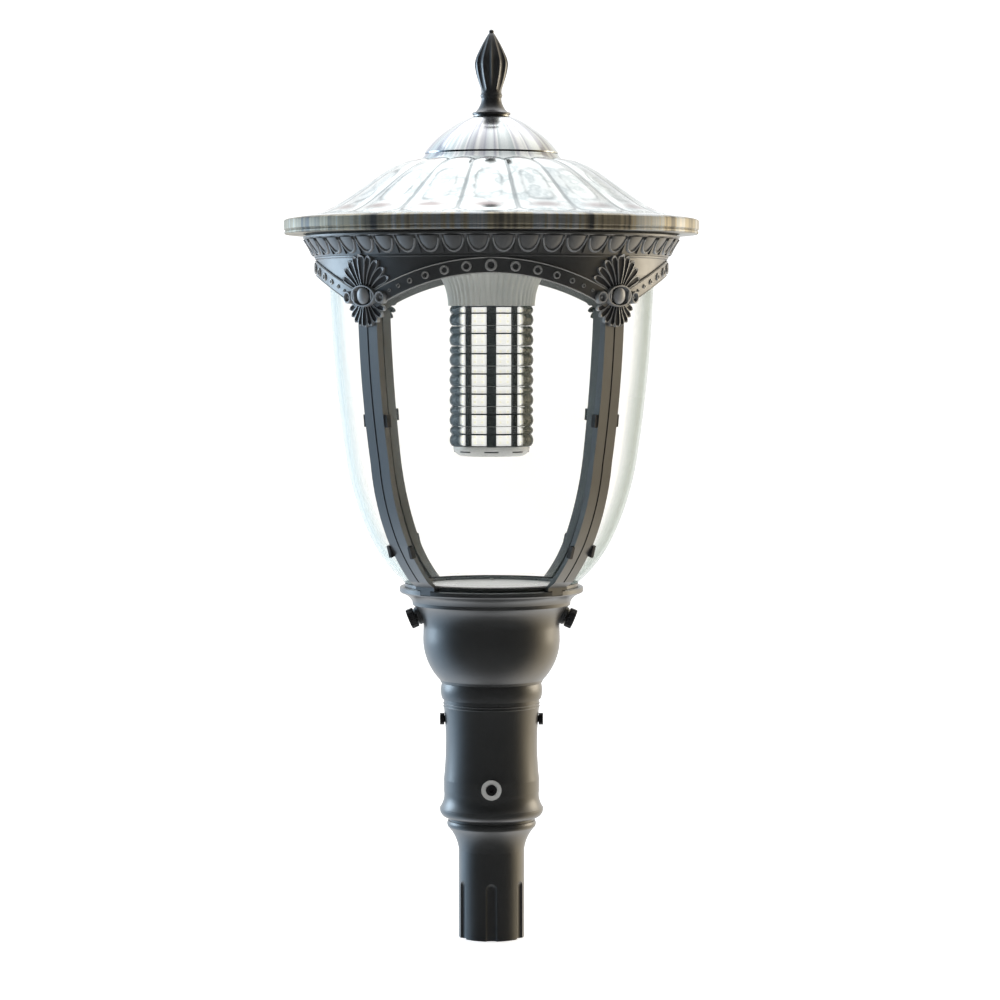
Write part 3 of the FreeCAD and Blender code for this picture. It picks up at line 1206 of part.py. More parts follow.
def build_end_cap():
    """Cap under the lens rings and its screws."""
    up = FreeCAD.Vector(0, 0, 1)
    cap = turned("end_cap_turning", (
        ("0", "0"),
        ("end_cap_radius - 9", "0", 1.0),
        ("end_cap_radius", "end_cap_height - 3"),
        ("end_cap_radius", "end_cap_height"),
        ("0", "end_cap_height"),
    ), TOWER_UP + " - end_cap_height")
    down = [(point("18", angle, TOWER_UP + " - end_cap_height + 2"), up * -1) for angle in (30, 150, 270)]
    small = number("fine_screw_radius")
    drill = doc.addObject("Part::Feature", "end_cap_drill")
    drill.Shape = Part.makeCompound(
        rods(3.2, 4, [(seat - up * 4, up) for seat, _ in down])
        + rods(loose("fine_screw_radius"), number("end_cap_height"),
               [(seat - up, up) for seat, _ in down]))
    keep(cut("lamp_end_cap", cap, drill), "lamp_end_cap")
    screws("end_cap_screws", down, small, number("end_cap_height") - 3, 2.8, 1.8)


def build_tie_rod():
    """Rod from the lamp tray to the finial, held by a nut each side of the tray."""
    up = FreeCAD.Vector(0, 0, 1)
    foot = "(" + LAMP_TRAY_UP + " - sink_height * 0.35)"
    keep(cylinder("tie_rod_bar", "tie_rod_radius", FINIAL_UP + " + finial_bore_depth - 1 - " + foot,
                  ("0", "0", foot)), "roof_tie_rod")
    hexagon = [outward(60 * k) * number("tie_nut_radius") for k in range(7)]
    flat_nut = Part.Face(Part.makePolygon(hexagon)).extrude(up * number("tie_nut_height"))
    flat_nut = flat_nut.cut(Part.makeCylinder(loose("tie_rod_radius"), number("tie_nut_height")))
    nuts = []
    for base in (LAMP_TRAY_UP + " - tie_nut_height", LAMP_TRAY_UP + " + lamp_tray_thickness"):
        nut = flat_nut.copy()
        nut.translate(up * number(base))
        nuts.append(nut)
    group = doc.addObject("Part::Feature", "tie_rod_nuts")
    group.Shape = Part.makeCompound(nuts)
    keep(group, "tie_rod_nuts")


def build_cover():
    """Plate that closes the cup under the bowl, and its screws."""
    up = FreeCAD.Vector(0, 0, 1)
    disc = cylinder("cover_disc", "ring_cover_radius - part_gap", "cover_thickness",
                    ("0", "0", RING_UP + " + ring_ledge_height"))
    seats = [(point("ring_inner_radius + 3", angle, RING_UP + " + ring_ledge_height + cover_thickness"), up)
             for angle in COVER_SCREW_ANGLES]
    small = number("fine_screw_radius")
    drill = doc.addObject("Part::Feature", "cover_drill")
    below = [(seat - up * 6, up) for seat, _ in seats]
    drill.Shape = Part.makeCompound(rods(loose("fine_screw_radius"), 10, below))
    keep(cut("cup_cover", disc, drill), "cup_cover")
    screws("cover_screws", seats, small, number("cover_thickness") + 4, 2.6, 1.6)


# ---------------------------------------------------------------- roof and finial

def dome_height(radius):
    """Height of a lobe's crest above the rim's lower edge: a smooth curve through four sizes."""
    known = [(number(f"dome_{name}_radius"), number(f"dome_{name}_height"))
             for name in ("foot", "low", "mid", "high")]
    total = 0
    for x, y in known:
        weight = 1
        for other, _ in known:
            if other != x:
                weight *= (radius - other) / (x - other)
        total += weight * y
    return total


def valley_height(radius):
    """Height of the groove between two lobes: it meets the crests near the rim."""
    inward = max(0, number("dome_foot_radius") - radius)
    return dome_height(radius) - number("petal_rise") * min(1, 0.3 + inward / 20)


def roof_petal():
    """One lobe of the roof along +X, lofted through upright cross-sections."""
    count = number("petal_count")
    start = number("dome_high_radius")
    end = number("dome_foot_radius")
    base = number(ROOF_UP)
    fade = 16
    steps = 8
    sections = []
    for k in range(steps + 1):
        radius = start + (end - start) * (k / steps)
        ease = max(0, (radius - (end - fade)) / fade)
        width = radius * math.tan(math.pi / count) - number("petal_valley") / 2
        width *= math.sqrt(1 - 0.8 * ease ** 2)
        side_up = base + valley_height(math.hypot(radius, width)) + 0.2
        low, side_low, crest, side_high, high = (FreeCAD.Vector(radius, *spot) for spot in (
            (-width, side_up - 2), (-width, side_up), (0, base + dome_height(radius)),
            (width, side_up), (width, side_up - 2)))
        sections.append(Part.Wire([
            Part.makeLine(low, side_low), Part.Arc(side_low, crest, side_high).toShape(),
            Part.makeLine(side_high, high), Part.makeLine(high, low)]))
    return Part.makeLoft(sections, True, False)


def canopy_shell():
    """The canopy without its lobes: rim, dome, seat for the upper dome, hollow below."""
    low = number(ROOF_UP)
    wall = number("roof_wall")
    start = number("dome_high_radius")
    end = number("dome_foot_radius")
    steps = 6
    stations = [end + (start - end) * k / steps for k in range(steps + 1)]
    outer = [FreeCAD.Vector(radius, 0, low + valley_height(radius)) for radius in stations]
    inner = [FreeCAD.Vector(spot.x, 0, spot.z - wall * 1.35) for spot in reversed(outer)]
    seat = number("dome_seat_radius")
    seat_up = number("dome_seat_height")
    hole = number("roof_hole_radius")
    edge = number("rim_edge_radius")
    foot = number("crown_step_radius")
    rim = [(foot, 0), (edge, 0), (edge + 1, 0), (number("rim_radius"), number("rim_bevel_height")),
           (edge, number("rim_face_height"))]
    top = [(seat + 1, seat_up - 2), (seat, seat_up), (hole, seat_up),
           (hole, seat_up - wall), (seat - 2, seat_up - wall)]
    rim, top = ([FreeCAD.Vector(radius, 0, low + height) for radius, height in side] for side in (rim, top))
    corners_below = [inner[-1], FreeCAD.Vector(foot, 0, inner[-1].z - 4), rim[0]]
    edges = []
    for path in (rim + [outer[0]], [outer[-1]] + top + [inner[0]], corners_below):
        edges += [Part.makeLine(a, b) for a, b in zip(path[:-1], path[1:])]
    for points in (outer, inner):
        curve = Part.BSplineCurve()
        curve.interpolate(points)
        edges.append(curve.toShape())
    wire = Part.Wire(Part.__sortEdges__(edges))
    return Part.Face(wire).revolve(FreeCAD.Vector(), FreeCAD.Vector(0, 0, 1), 360)


def build_roof():
    """Canopy with rim and lobed dome, upper dome, gasket under the rim."""
    lobe = roof_petal()
    count = round(number("petal_count"))
    first = number("petal_first_angle") + 180 / count
    lobes = [turned_copy(lobe, first + 360 * k / count) for k in range(count)]
    item = doc.addObject("Part::Feature", "canopy")
    item.Shape = canopy_shell().multiFuse(lobes)
    keep(item, "roof_canopy")
    keep(turned("roof_cap_turning", (
        ("cap_radius - cap_wall", "0"),
        ("cap_radius", "0"),
        ("cap_radius", "1.5", 2.6),
        ("cap_mid_radius", "cap_mid_height", 2.9),
        ("cap_top_radius", "cap_height"),
        ("roof_hole_radius", "cap_height"),
        ("roof_hole_radius", "cap_height - cap_wall"),
        ("cap_top_radius - 0.5", "cap_height - cap_wall", -2.9),
        ("cap_mid_radius - cap_wall * 0.8", "cap_mid_height - cap_wall * 0.8", -2.6),
        ("cap_radius - cap_wall", "1.5"),
    ), CAP_UP), "roof_cap")
    gasket = ring("roof_gasket_ring", "crown_lip_radius - 3", "crown_step_radius + 0.5",
                  "roof_gasket_thickness", CROWN_UP + " + crown_height")
    keep(gasket, "roof_gasket")


def build_finial():
    """Turned finial with a threaded bore, and its captive washer."""
    washer = ring("washer_ring", "finial_flange_radius - 2", "tie_rod_radius + part_gap",
                  "finial_washer_thickness", WASHER_UP)
    keep(washer, "finial_washer")
    bore = "tie_rod_radius + running_fit"
    stem = turned("finial_turning", (
        (bore, "0"),
        ("finial_flange_radius", "0"),
        ("finial_flange_radius", "finial_flange_height"),
        ("finial_flange_radius - 3", "finial_flange_height", -1.0),
        ("finial_neck_radius", "finial_neck_height"),
        ("finial_neck_radius", "finial_bead_height - 2", 0.8),
        ("finial_neck_radius", "finial_bead_height + 2", -2.2),
        ("finial_bulb_radius - 3", "finial_bulb_height - 15", 1.4),
        ("finial_bulb_radius - 2", "finial_bulb_height + 9", 6),
        ("finial_tip_radius + 3.2", "finial_tip_height - 8", -4),
        ("finial_tip_radius - 2", "finial_tip_height"),
        ("0", "finial_tip_height"),
        ("0", "finial_bore_depth"),
        (bore, "finial_bore_depth"),
    ), FINIAL_UP)
    ball = doc.addObject("Part::Sphere", "finial_ball")
    bind(ball, "Radius", "finial_tip_radius")
    place(ball, ("0", "0", FINIAL_UP + " + finial_height - finial_tip_radius"))
    keep(fuse("finial_solid", stem, ball), "finial")


def build():
    """Makes every sub-part."""
    build_post_head()
    build_collar()
    build_cup()
    build_cup_contents()
    build_clamps()
    build_cage_ring()
    build_cover()
    for side, angle in RIB_ANGLES.items():
        build_rib(side, angle)
    build_rib_fasteners()
    build_crown()
    build_palmettes()
    build_bowl()
    build_retainer()
    build_lamp_tray()
    build_heat_sink()
    build_light_engine()
    build_end_cap()
    build_tie_rod()
    build_roof()
    build_finial()


def check():
    """Stops if any object failed or any sub-part has no valid solid."""
    for item in doc.Objects:
        if any(word in item.State for word in ("Invalid", "Error")):
            raise ValueError(item.Label + " failed: " + str(item.State))
    for node in nodes:
        shape = node.Shape
        if shape.isNull() or not shape.isValid() or not shape.Solids:
            raise ValueError(node.Label + " has no valid shape")


build()
doc.recompute()
check()
os.makedirs("parts", exist_ok=True)
for node in nodes:
    node.Shape.exportStep(f"parts/{node.Label}.step")
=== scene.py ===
"""Post top lantern: finished surfaces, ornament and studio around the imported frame."""

from __future__ import annotations

import logging
import math
from collections.abc import Callable, Iterable, Sequence
from dataclasses import dataclass
from enum import Enum
from functools import cache
from itertools import product

import bmesh
import bpy
from mathutils import Matrix, Vector

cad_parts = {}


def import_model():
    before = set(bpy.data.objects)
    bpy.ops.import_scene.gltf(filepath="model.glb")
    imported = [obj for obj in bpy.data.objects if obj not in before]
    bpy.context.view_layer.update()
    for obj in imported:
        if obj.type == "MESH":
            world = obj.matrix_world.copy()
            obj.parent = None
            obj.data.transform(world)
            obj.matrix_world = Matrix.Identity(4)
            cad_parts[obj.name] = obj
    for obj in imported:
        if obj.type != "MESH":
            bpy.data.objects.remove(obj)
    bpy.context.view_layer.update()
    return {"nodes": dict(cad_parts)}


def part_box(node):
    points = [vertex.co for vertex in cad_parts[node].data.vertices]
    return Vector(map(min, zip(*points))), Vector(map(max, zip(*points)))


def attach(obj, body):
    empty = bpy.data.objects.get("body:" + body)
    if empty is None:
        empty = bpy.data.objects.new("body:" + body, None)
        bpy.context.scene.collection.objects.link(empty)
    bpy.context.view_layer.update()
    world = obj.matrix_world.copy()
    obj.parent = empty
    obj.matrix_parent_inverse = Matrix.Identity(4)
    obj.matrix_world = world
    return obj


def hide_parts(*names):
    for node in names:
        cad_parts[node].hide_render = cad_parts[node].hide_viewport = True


LOG = logging.getLogger("lantern")
MM = 0.001
FULL_TURN = 2 * math.pi
FRONT = -90
SIDES = {"front_right": -45, "rear_right": 45, "rear_left": 135, "front_left": 225}
SHARP_EDGE = 38
LOBES = 18
FIRST_GROOVE = math.radians(19.0)
NOISE_LOW, NOISE_HIGH = 0.3, 0.7

Profile = Sequence[tuple[float, float]]
Colour = tuple[float, float, float]
Mesh = bmesh.types.BMesh
Socket = bpy.types.NodeSocket
WHITE: Colour = (1.0, 1.0, 1.0)


class Body(Enum):
    """Rigid bodies of the frame."""

    LANTERN = "lantern"
    ROOF = "roof"
    FINIAL = "finial_body"


class Slot(Enum):
    """Names of material slots; no piece here uses them."""

    PAINT = "paint"
    ROOF = "roof_metal"
    LENS = "lens"
    SINK = "sink"
    BOARD = "board"


# ---- materials


class NodeBoard:
    """Adds and joins the nodes of one material or world."""

    def __init__(self, owner: bpy.types.ID, output: str = "ShaderNodeOutputMaterial") -> None:
        """Empties the owner's nodes and adds its output.

        Args:
            owner: a material or a world.
            output: type name of its output node.
        """
        self.owner = owner
        owner.use_nodes = True
        self.tree = owner.node_tree
        self.tree.nodes.clear()
        self.output = self.tree.nodes.new(output)

    def add(self, kind: str, inputs: dict | None = None, **settings: object) -> bpy.types.Node:
        """Adds a node.

        Args:
            kind: the node's type name.
            inputs: values, or sockets to link, by input name or number.
            settings: the node's own properties.

        Returns:
            The new node.
        """
        node = self.tree.nodes.new(kind)
        for key, value in settings.items():
            setattr(node, key, value)
        for key, value in (inputs or {}).items():
            if isinstance(value, Socket):
                self.tree.links.new(value, node.inputs[key])
            else:
                node.inputs[key].default_value = value
        return node

    def math(self, operation: str, first: object, second: object = 0.0) -> Socket:
        """One step of arithmetic.

        Args:
            operation: the Math node's operation.
            first: a number or a socket.
            second: a number or a socket.

        Returns:
            The result's socket.
        """
        return self.add("ShaderNodeMath", {0: first, 1: second}, operation=operation).outputs[0]

    def plus(self, first: object, second: object) -> Socket:
        """The sum of two values."""
        return self.math("ADD", first, second)

    def minus(self, first: object, second: object) -> Socket:
        """The first value less the second."""
        return self.math("SUBTRACT", first, second)

    def times(self, first: object, second: object) -> Socket:
        """The product of two values."""
        return self.math("MULTIPLY", first, second)

    def noise(self, where: Socket, scale: float, detail: float = 3.0) -> Socket:
        """Noise at a scale.

        Args:
            where: the coordinates.
            scale: cells per metre.
            detail: how many finer layers.

        Returns:
            The noise's value, mostly from 0.3 to 0.7.
        """
        inputs = {"Vector": where, "Scale": scale, "Detail": detail}
        return self.add("ShaderNodeTexNoise", inputs).outputs["Fac"]

    def span(self, value: object, low: float, high: float, to_low: float, to_high: float) -> Socket:
        """Maps a range of values to another, clamped.

        Args:
            value: the socket to map.
            low: start of the range.
            high: end of the range.
            to_low: result at the start.
            to_high: result at the end.

        Returns:
            The mapped value's socket.
        """
        inputs = {"Value": value, "From Min": low, "From Max": high, "To Min": to_low, "To Max": to_high}
        return self.add("ShaderNodeMapRange", inputs).outputs[0]

    def vary(self, noise: Socket, low: float, high: float) -> Socket:
        """Maps the usual values of a noise to a range."""
        return self.span(noise, NOISE_LOW, NOISE_HIGH, low, high)

    def ramp(self, value: object, stops: Sequence[tuple[float, Colour]]) -> Socket:
        """A colour ramp.

        Args:
            value: where on the ramp.
            stops: (place, colour), in order.

        Returns:
            The colour's socket.
        """
        node = self.add("ShaderNodeValToRGB", {"Fac": value})
        elements = node.color_ramp.elements
        elements[0].position = stops[0][0]
        elements[1].position = stops[-1][0]
        for place, _ in stops[1:-1]:
            elements.new(place)
        for element, (_, colour) in zip(elements, stops):
            element.color = (*colour, 1)
        return node.outputs["Color"]

    def blend(self, share: object, first: object, second: object) -> Socket:
        """Mixes two colours.

        Args:
            share: how much of the second.
            first: a colour or a socket.
            second: a colour or a socket.

        Returns:
            The mixed colour's socket.
        """
        ends = [value if isinstance(value, Socket) else (*value, 1) for value in (first, second)]
        return self.add("ShaderNodeMix", {0: share, 6: ends[0], 7: ends[1]}, data_type="RGBA").outputs[2]

    def place(self) -> Socket:
        """Object coordinates."""
        return self.add("ShaderNodeTexCoord").outputs["Object"]

    def circle(self, angle: Socket) -> Socket:
        """The place on a circle of radius 1, for a pattern that changes only round the axis."""
        inputs = {"X": self.math("COSINE", angle), "Y": self.math("SINE", angle)}
        return self.add("ShaderNodeCombineXYZ", inputs).outputs[0]

    def bump(self, height: Socket, strength: float, distance: float) -> Socket:
        """A bumped normal.

        Args:
            height: the height's socket.
            strength: 0 to 1.
            distance: metres.

        Returns:
            The normal's socket.
        """
        inputs = {"Height": height, "Strength": strength, "Distance": distance}
        return self.add("ShaderNodeBump", inputs).outputs["Normal"]

    def finish(self, shader: bpy.types.Node) -> bpy.types.ID:
        """Joins the shader to the output.

        Args:
            shader: the last shader node.

        Returns:
            The material or the world.
        """
        self.tree.links.new(shader.outputs[0], self.output.inputs["Surface"])
        return self.owner


def new_board(name: str) -> NodeBoard:
    """The empty nodes of a new material."""
    return NodeBoard(bpy.data.materials.new(name))


@dataclass(frozen=True)
class SatinFinish:
    """Paint, plastic, rubber or plated metal with mottled colour, uneven gloss, a fine grain and, where set,
    a painted glow.
    """

    name: str
    dark: Colour
    light: Colour
    metallic: float = 0.0
    smooth: float = 0.35
    rough: float = 0.5
    mottle_scale: float = 22.0
    grain_scale: float = 900.0
    grain_depth: float = 0.00012
    # painted glow: emission that lifts a part which is no lamp
    glow: float = 0.0

    def build(self) -> bpy.types.Material:
        """Builds the material.

        Returns:
            The material.
        """
        board = new_board(self.name)
        where = board.place()
        mottle = board.noise(where, self.mottle_scale, 5.0)
        grain = board.noise(where, self.grain_scale, 2.0)
        patch = board.noise(where, self.mottle_scale * 3.1, 2.0)
        shader = board.add("ShaderNodeBsdfPrincipled", {
            "Base Color": board.ramp(mottle, ((0.32, self.dark), (NOISE_HIGH, self.light))),
            "Metallic": self.metallic,
            "Roughness": board.vary(patch, self.smooth, self.rough),
            "Normal": board.bump(grain, 0.5, self.grain_depth),
            "Emission Color": (*self.light, 1),
            "Emission Strength": self.glow,
        })
        return board.finish(shader)


@dataclass(frozen=True)
class CastPaint(SatinFinish):
    """Paint on a casting, with a grain almost too fine to see."""

    metallic: float = 0.9
    smooth: float = 0.36
    rough: float = 0.46
    mottle_scale: float = 60.0
    grain_scale: float = 1300.0
    grain_depth: float = 0.00002


@dataclass(frozen=True)
class LobeOval:
    """A rounded oval drawn on every lobe; its width is a share of the lobe's, its other sizes metres."""

    half_width: float
    middle: float
    half_length: float
    power: float = 2.0

    def distance(self, board: NodeBoard, across: Socket, radius: Socket) -> Socket:
        """How far out a place lies in the oval.

        Args:
            board: the material's nodes.
            across: 0 on a crest, 1 in a groove.
            radius: metres from the axis.

        Returns:
            0 in the middle, 1 on the edge.
        """
        sides = board.math("POWER", board.math("DIVIDE", across, self.half_width), self.power)
        off = board.math("ABSOLUTE", board.math("DIVIDE", board.minus(radius, self.middle), self.half_length))
        return board.math("POWER", board.plus(sides, board.math("POWER", off, self.power)), 1 / self.power)


@dataclass(frozen=True)
class LobedRoofReflectionFinish:
    """Polished aluminium whose colour is painted light: reflected streaks and patches, dark outlines of the
    lobes painted as shade in the grooves, painted reflection ovals at their feet, painted shadow at their
    heads and painted shade on the right front lobes.
    """

    name: str
    head: float = 0.083
    foot: float = 0.206
    # painted reflections: colours that the polished dome reflects
    bright_reflection: Colour = (0.66, 0.7, 0.7)
    smeared_reflection: Colour = (0.47, 0.52, 0.53)
    # dark colour of the lobe outlines, painted shade, and of the inner lines, painted reflection
    line: Colour = (0.17, 0.19, 0.2)
    # painted dark tone: shadow at the lobes' heads and reflection ovals at their feet
    painted_dark: Colour = (0.27, 0.23, 0.23)
    veil_reflection: Colour = (0.4, 0.41, 0.46)
    painted_gleam: Colour = (0.74, 0.75, 0.74)
    # painted shade: the lobes on the right front are darker
    shade: Colour = (0.12, 0.135, 0.14)
    shade_stops: Profile = ((0.5, 0.0), (0.56, 0.34), (0.62, 0.34), (0.67, 0.08))
    inner_reflection_oval: LobeOval = LobeOval(0.56, 0.15, 0.026, 3.0)
    foot_reflection_oval: LobeOval = LobeOval(0.78, 0.1875, 0.0085)
    head_shadow_oval: LobeOval = LobeOval(0.7, 0.096, 0.006)

    def build(self) -> bpy.types.Material:
        """Builds the material.

        Returns:
            The material.
        """
        board = new_board(self.name)
        where = board.place()
        parts = board.add("ShaderNodeSeparateXYZ", {"Vector": where}).outputs
        wobble = board.minus(board.noise(where, 28.0, 2.0), 0.5)
        angle = board.math("ARCTAN2", parts["Y"], parts["X"])
        squares = board.plus(board.times(parts["X"], parts["X"]), board.times(parts["Y"], parts["Y"]))
        radius = board.plus(board.math("SQRT", squares), board.times(wobble, 0.004))
        turns = board.times(board.minus(angle, FIRST_GROOVE), LOBES / FULL_TURN)
        lobe = board.minus(board.math("FRACT", board.plus(turns, LOBES)), 0.5)
        across = board.plus(board.times(board.math("ABSOLUTE", lobe), 2.0), board.times(wobble, 0.1))
        # the dome's painted reflections and shade
        tone = self.dome(board, where, across, radius)
        # painted reflection streaks on the cap
        streaks = board.ramp(board.noise(board.circle(angle), 3.4, 2.0), (
            (0.4, self.bright_reflection), (0.46, self.smeared_reflection), (0.5, self.painted_gleam), (0.57, self.veil_reflection),
            (0.64, self.bright_reflection)))
        on_cap = board.span(radius, self.head - 0.003, self.head - 0.001, 1.0, 0.0)
        tone = board.blend(on_cap, tone, streaks)
        # painted shade, darker on the lobes to the right of the front
        stops = [(at, (share,) * 3) for at, share in self.shade_stops]
        shade = board.ramp(board.plus(parts["X"], 0.5), stops)
        shader = board.add("ShaderNodeBsdfPrincipled", {
            "Base Color": board.blend(shade, tone, self.shade),
            "Metallic": 1.0,
            "Roughness": board.vary(board.noise(where, 40.0, 4.0), 0.14, 0.24),
            "Normal": board.bump(board.noise(where, 34.0, 2.0), 0.3, 0.0012),
        })
        return board.finish(shader)

    def dome(self, board: NodeBoard, where: Socket, across: Socket, radius: Socket) -> Socket:
        """The colour of the dome, all painted light: reflected patches, lobe outlines painted as shade, a
        reflected inner line, and ovals at the head and foot of each lobe, painted shadow at the head and
        painted reflection at the foot.

        Args:
            board: the material's nodes.
            where: the coordinates.
            across: 0 on a crest, 1 in a groove.
            radius: metres from the axis.

        Returns:
            The colour's socket.
        """
        on_dome = board.times(board.span(radius, self.head - 0.001, self.head, 0.0, 1.0),
                              board.span(radius, self.foot, self.foot + 0.001, 1.0, 0.0))
        patchy = board.noise(where, 46.0, 3.0)
        bent = board.plus(across, board.times(board.minus(patchy, 0.5), 0.5))
        # painted reflection: a thin curved line inside each lobe
        off_line = board.math("ABSOLUTE", board.minus(self.inner_reflection_oval.distance(board, bent, radius), 1.0))
        inner_line = board.times(board.span(off_line, 0.0, 0.2, 0.75, 0.0),
                                 board.span(patchy, 0.4, 0.6, 1.0, 0.25))
        # painted reflection: an oval at each lobe's foot; painted shadow: a blotch at each lobe's head
        foot = board.span(self.foot_reflection_oval.distance(board, across, radius), 0.3, 1.1, 0.9, 0.0)
        head = board.span(self.head_shadow_oval.distance(board, across, radius), 0.4, 1.1, 0.85, 0.0)
        # painted shade along the grooves between the lobes
        outline = self.outline(board, across, radius)
        # painted reflections: the dome's patchy light base
        tone = board.ramp(board.noise(where, 30.0, 4.0),
                          ((0.42, self.bright_reflection), (0.5, self.smeared_reflection), (0.56, self.bright_reflection)))
        for share, colour in ((inner_line, self.line), (foot, self.painted_dark), (head, self.painted_dark),
                              (outline, self.line)):
            tone = board.blend(board.times(share, on_dome), tone, colour)
        return tone

    def outline(self, board: NodeBoard, across: Socket, radius: Socket) -> Socket:
        """A thin dark line round each lobe, painted shade along its grooves, which narrows at its foot and
        head.

        Args:
            board: the material's nodes.
            across: 0 on a crest, 1 in a groove.
            radius: metres from the axis.

        Returns:
            1 on the line, 0 away from it.
        """
        low = board.math("POWER", board.span(radius, self.foot - 0.016, self.foot - 0.001, 0.0, 1.0), 2.2)
        high = board.math("POWER", board.span(radius, self.head + 0.002, self.head + 0.012, 1.0, 0.0), 2.2)
        width = board.math("SQRT", board.minus(1.0, board.math("MAXIMUM", low, high)))
        away = board.math("ABSOLUTE", board.minus(across, board.times(width, 0.97)))
        return board.span(away, 0.02, 0.1, 0.75, 0.0)


@dataclass(frozen=True)
class RimReflectionFinish:
    """Polished rim with painted reflections: its colour changes in upright streaks round the lantern."""

    name: str
    # reflection colours painted into the rim's streaks
    painted_dark: Colour = (0.12, 0.125, 0.13)
    warm: Colour = (0.46, 0.42, 0.32)
    cool: Colour = (0.42, 0.46, 0.49)
    painted_gleam: Colour = (0.6, 0.59, 0.56)

    def build(self) -> bpy.types.Material:
        """Builds the material.

        Returns:
            The material.
        """
        board = new_board(self.name)
        where = board.place()
        parts = board.add("ShaderNodeSeparateXYZ", {"Vector": where}).outputs
        ring = board.circle(board.math("ARCTAN2", parts["Y"], parts["X"]))
        narrow = board.noise(ring, 34.0, 3.0)
        mixed = board.plus(board.times(board.noise(ring, 5.5, 2.0), 0.6), board.times(narrow, 0.4))
        # painted reflections: dark, warm, cool and light streaks round the rim
        stops = ((0.38, self.painted_dark), (0.5, self.warm), (0.56, self.cool), (0.62, self.painted_gleam))
        shader = board.add("ShaderNodeBsdfPrincipled", {
            "Base Color": board.ramp(mixed, stops),
            "Metallic": 0.84,
            "Roughness": board.vary(narrow, 0.42, 0.55),
            "Normal": board.bump(board.noise(where, 60.0, 2.0), 0.15, 0.0003),
        })
        return board.finish(shader)


@dataclass(frozen=True)
class ClearFinish:
    """Clear acrylic: light goes through it, its edges turn milky and take a tint that changes from left to
    right, a painted reflection of the surroundings.
    """

    name: str
    through: Colour
    left: Colour
    right: Colour
    spread: float
    edge_start: float
    edge_share: float
    gloss: float = 0.05
    edge_end: float = 1.0
    shine: float = 0.5

    def build(self) -> bpy.types.Material:
        """Builds the material.

        Returns:
            The material.
        """
        board = new_board(self.name)
        where = board.place()
        across = board.add("ShaderNodeSeparateXYZ", {"Vector": where}).outputs["X"]
        # painted reflection: the edge tint changes from the left side to the right
        tint = board.blend(board.span(across, -self.spread, self.spread, 0.0, 1.0), self.left, self.right)
        cloud = board.noise(where, 9.0, 3.0)
        facing = board.add("ShaderNodeLayerWeight", {"Blend": 0.5}).outputs["Facing"]
        body = board.add("ShaderNodeBsdfPrincipled", {
            "Base Color": tint,
            "Roughness": board.vary(cloud, self.gloss, self.gloss * 1.6),
            "Specular IOR Level": self.shine,
        })
        clear = board.add("ShaderNodeBsdfTransparent", {"Color": (*self.through, 1)})
        edge = board.span(facing, self.edge_start, self.edge_end, 0.0, self.edge_share)
        share = board.plus(edge, board.span(cloud, 0.4, 0.8, 0.015, 0.045))
        mixed = board.add("ShaderNodeMixShader", {0: share, 1: clear.outputs[0], 2: body.outputs[0]})
        return board.finish(mixed)


Finish = SatinFinish | LobedRoofReflectionFinish | RimReflectionFinish | ClearFinish

GRAPHITE = CastPaint("graphite_paint", (0.2, 0.205, 0.21), (0.22, 0.225, 0.23), smooth=0.33, rough=0.37,
                     mottle_scale=18.0)
# painted light: a slightly lighter copy of the frame paint for the crown ring and its ornament
LIT_CROWN_PAINT = CastPaint("graphite_crown_lit", (0.215, 0.22, 0.225), (0.24, 0.245, 0.25), rough=0.42,
                        mottle_scale=18.0)
# painted highlight: lighter paint on the raised studs and arch edges
STUD_HIGHLIGHT = CastPaint("graphite_studs_highlight", (0.38, 0.38, 0.37), (0.44, 0.44, 0.43), metallic=0.6)
# painted highlight: lighter paint on the raised rims of tongues and leaves and on the palmette bosses
RAISED_HIGHLIGHT = CastPaint("graphite_highlight", (0.3, 0.31, 0.32), (0.36, 0.37, 0.38), metallic=0.62)
ROOF_REFLECTIONS = LobedRoofReflectionFinish("polished_roof_painted_reflections")
RIM_REFLECTIONS = RimReflectionFinish("polished_rim_painted_reflections")
# painted reflection: bluish edges on the left, grey-green on the right
BOWL_CLEAR = ClearFinish("bowl_acrylic", (0.985, 0.98, 0.972), (0.78, 0.95, 1.0), (0.36, 0.44, 0.38),
                         spread=0.15, edge_start=0.53, edge_share=0.75)
# painted reflection: near-black edges, as the lens reflects the dark front
LENS_CLEAR = ClearFinish("lens_plastic", (0.97, 0.975, 0.975), (0.04, 0.06, 0.075), (0.05, 0.055, 0.04),
                         spread=0.04, edge_start=0.38, edge_share=0.94, gloss=0.2, edge_end=0.5, shine=0.12)
# The numbers after the two colours: metallic, roughness from and to, scale of the mottle.
# lighter grey than the frame paint
SCREW_SEAT = SatinFinish("light_grey_seat", (0.56, 0.56, 0.54), (0.64, 0.64, 0.62), 0.3, 0.35, 0.5, 60.0)
# painted shade: near-black paint in the hollows of the leaves and studs
HOLLOW_SHADE = SatinFinish("graphite_hollow_shade", (0.014, 0.015, 0.017), (0.028, 0.029, 0.031), 0.1, 0.5, 0.65, 30.0)
# painted glow: a faint emission lifts the sink casting
SINK_METAL = SatinFinish("sink_casting", (0.36, 0.375, 0.36), (0.44, 0.45, 0.43), 0.15, 0.45, 0.6, 30.0,
                         grain_scale=1300.0, glow=0.03)
# painted glow: the boards emit light though the lamp is unlit
GLOWING_BOARD = SatinFinish("led_board", (0.9, 0.9, 0.89), (0.96, 0.96, 0.95), 0.0, 0.3, 0.42, 60.0, glow=0.75)
# painted glow: a faint emission lifts the end cap
CAP_WHITE = SatinFinish("end_cap_plastic", (0.5, 0.51, 0.5), (0.58, 0.59, 0.58), 0.0, 0.3, 0.42, 60.0,
                        glow=0.08)
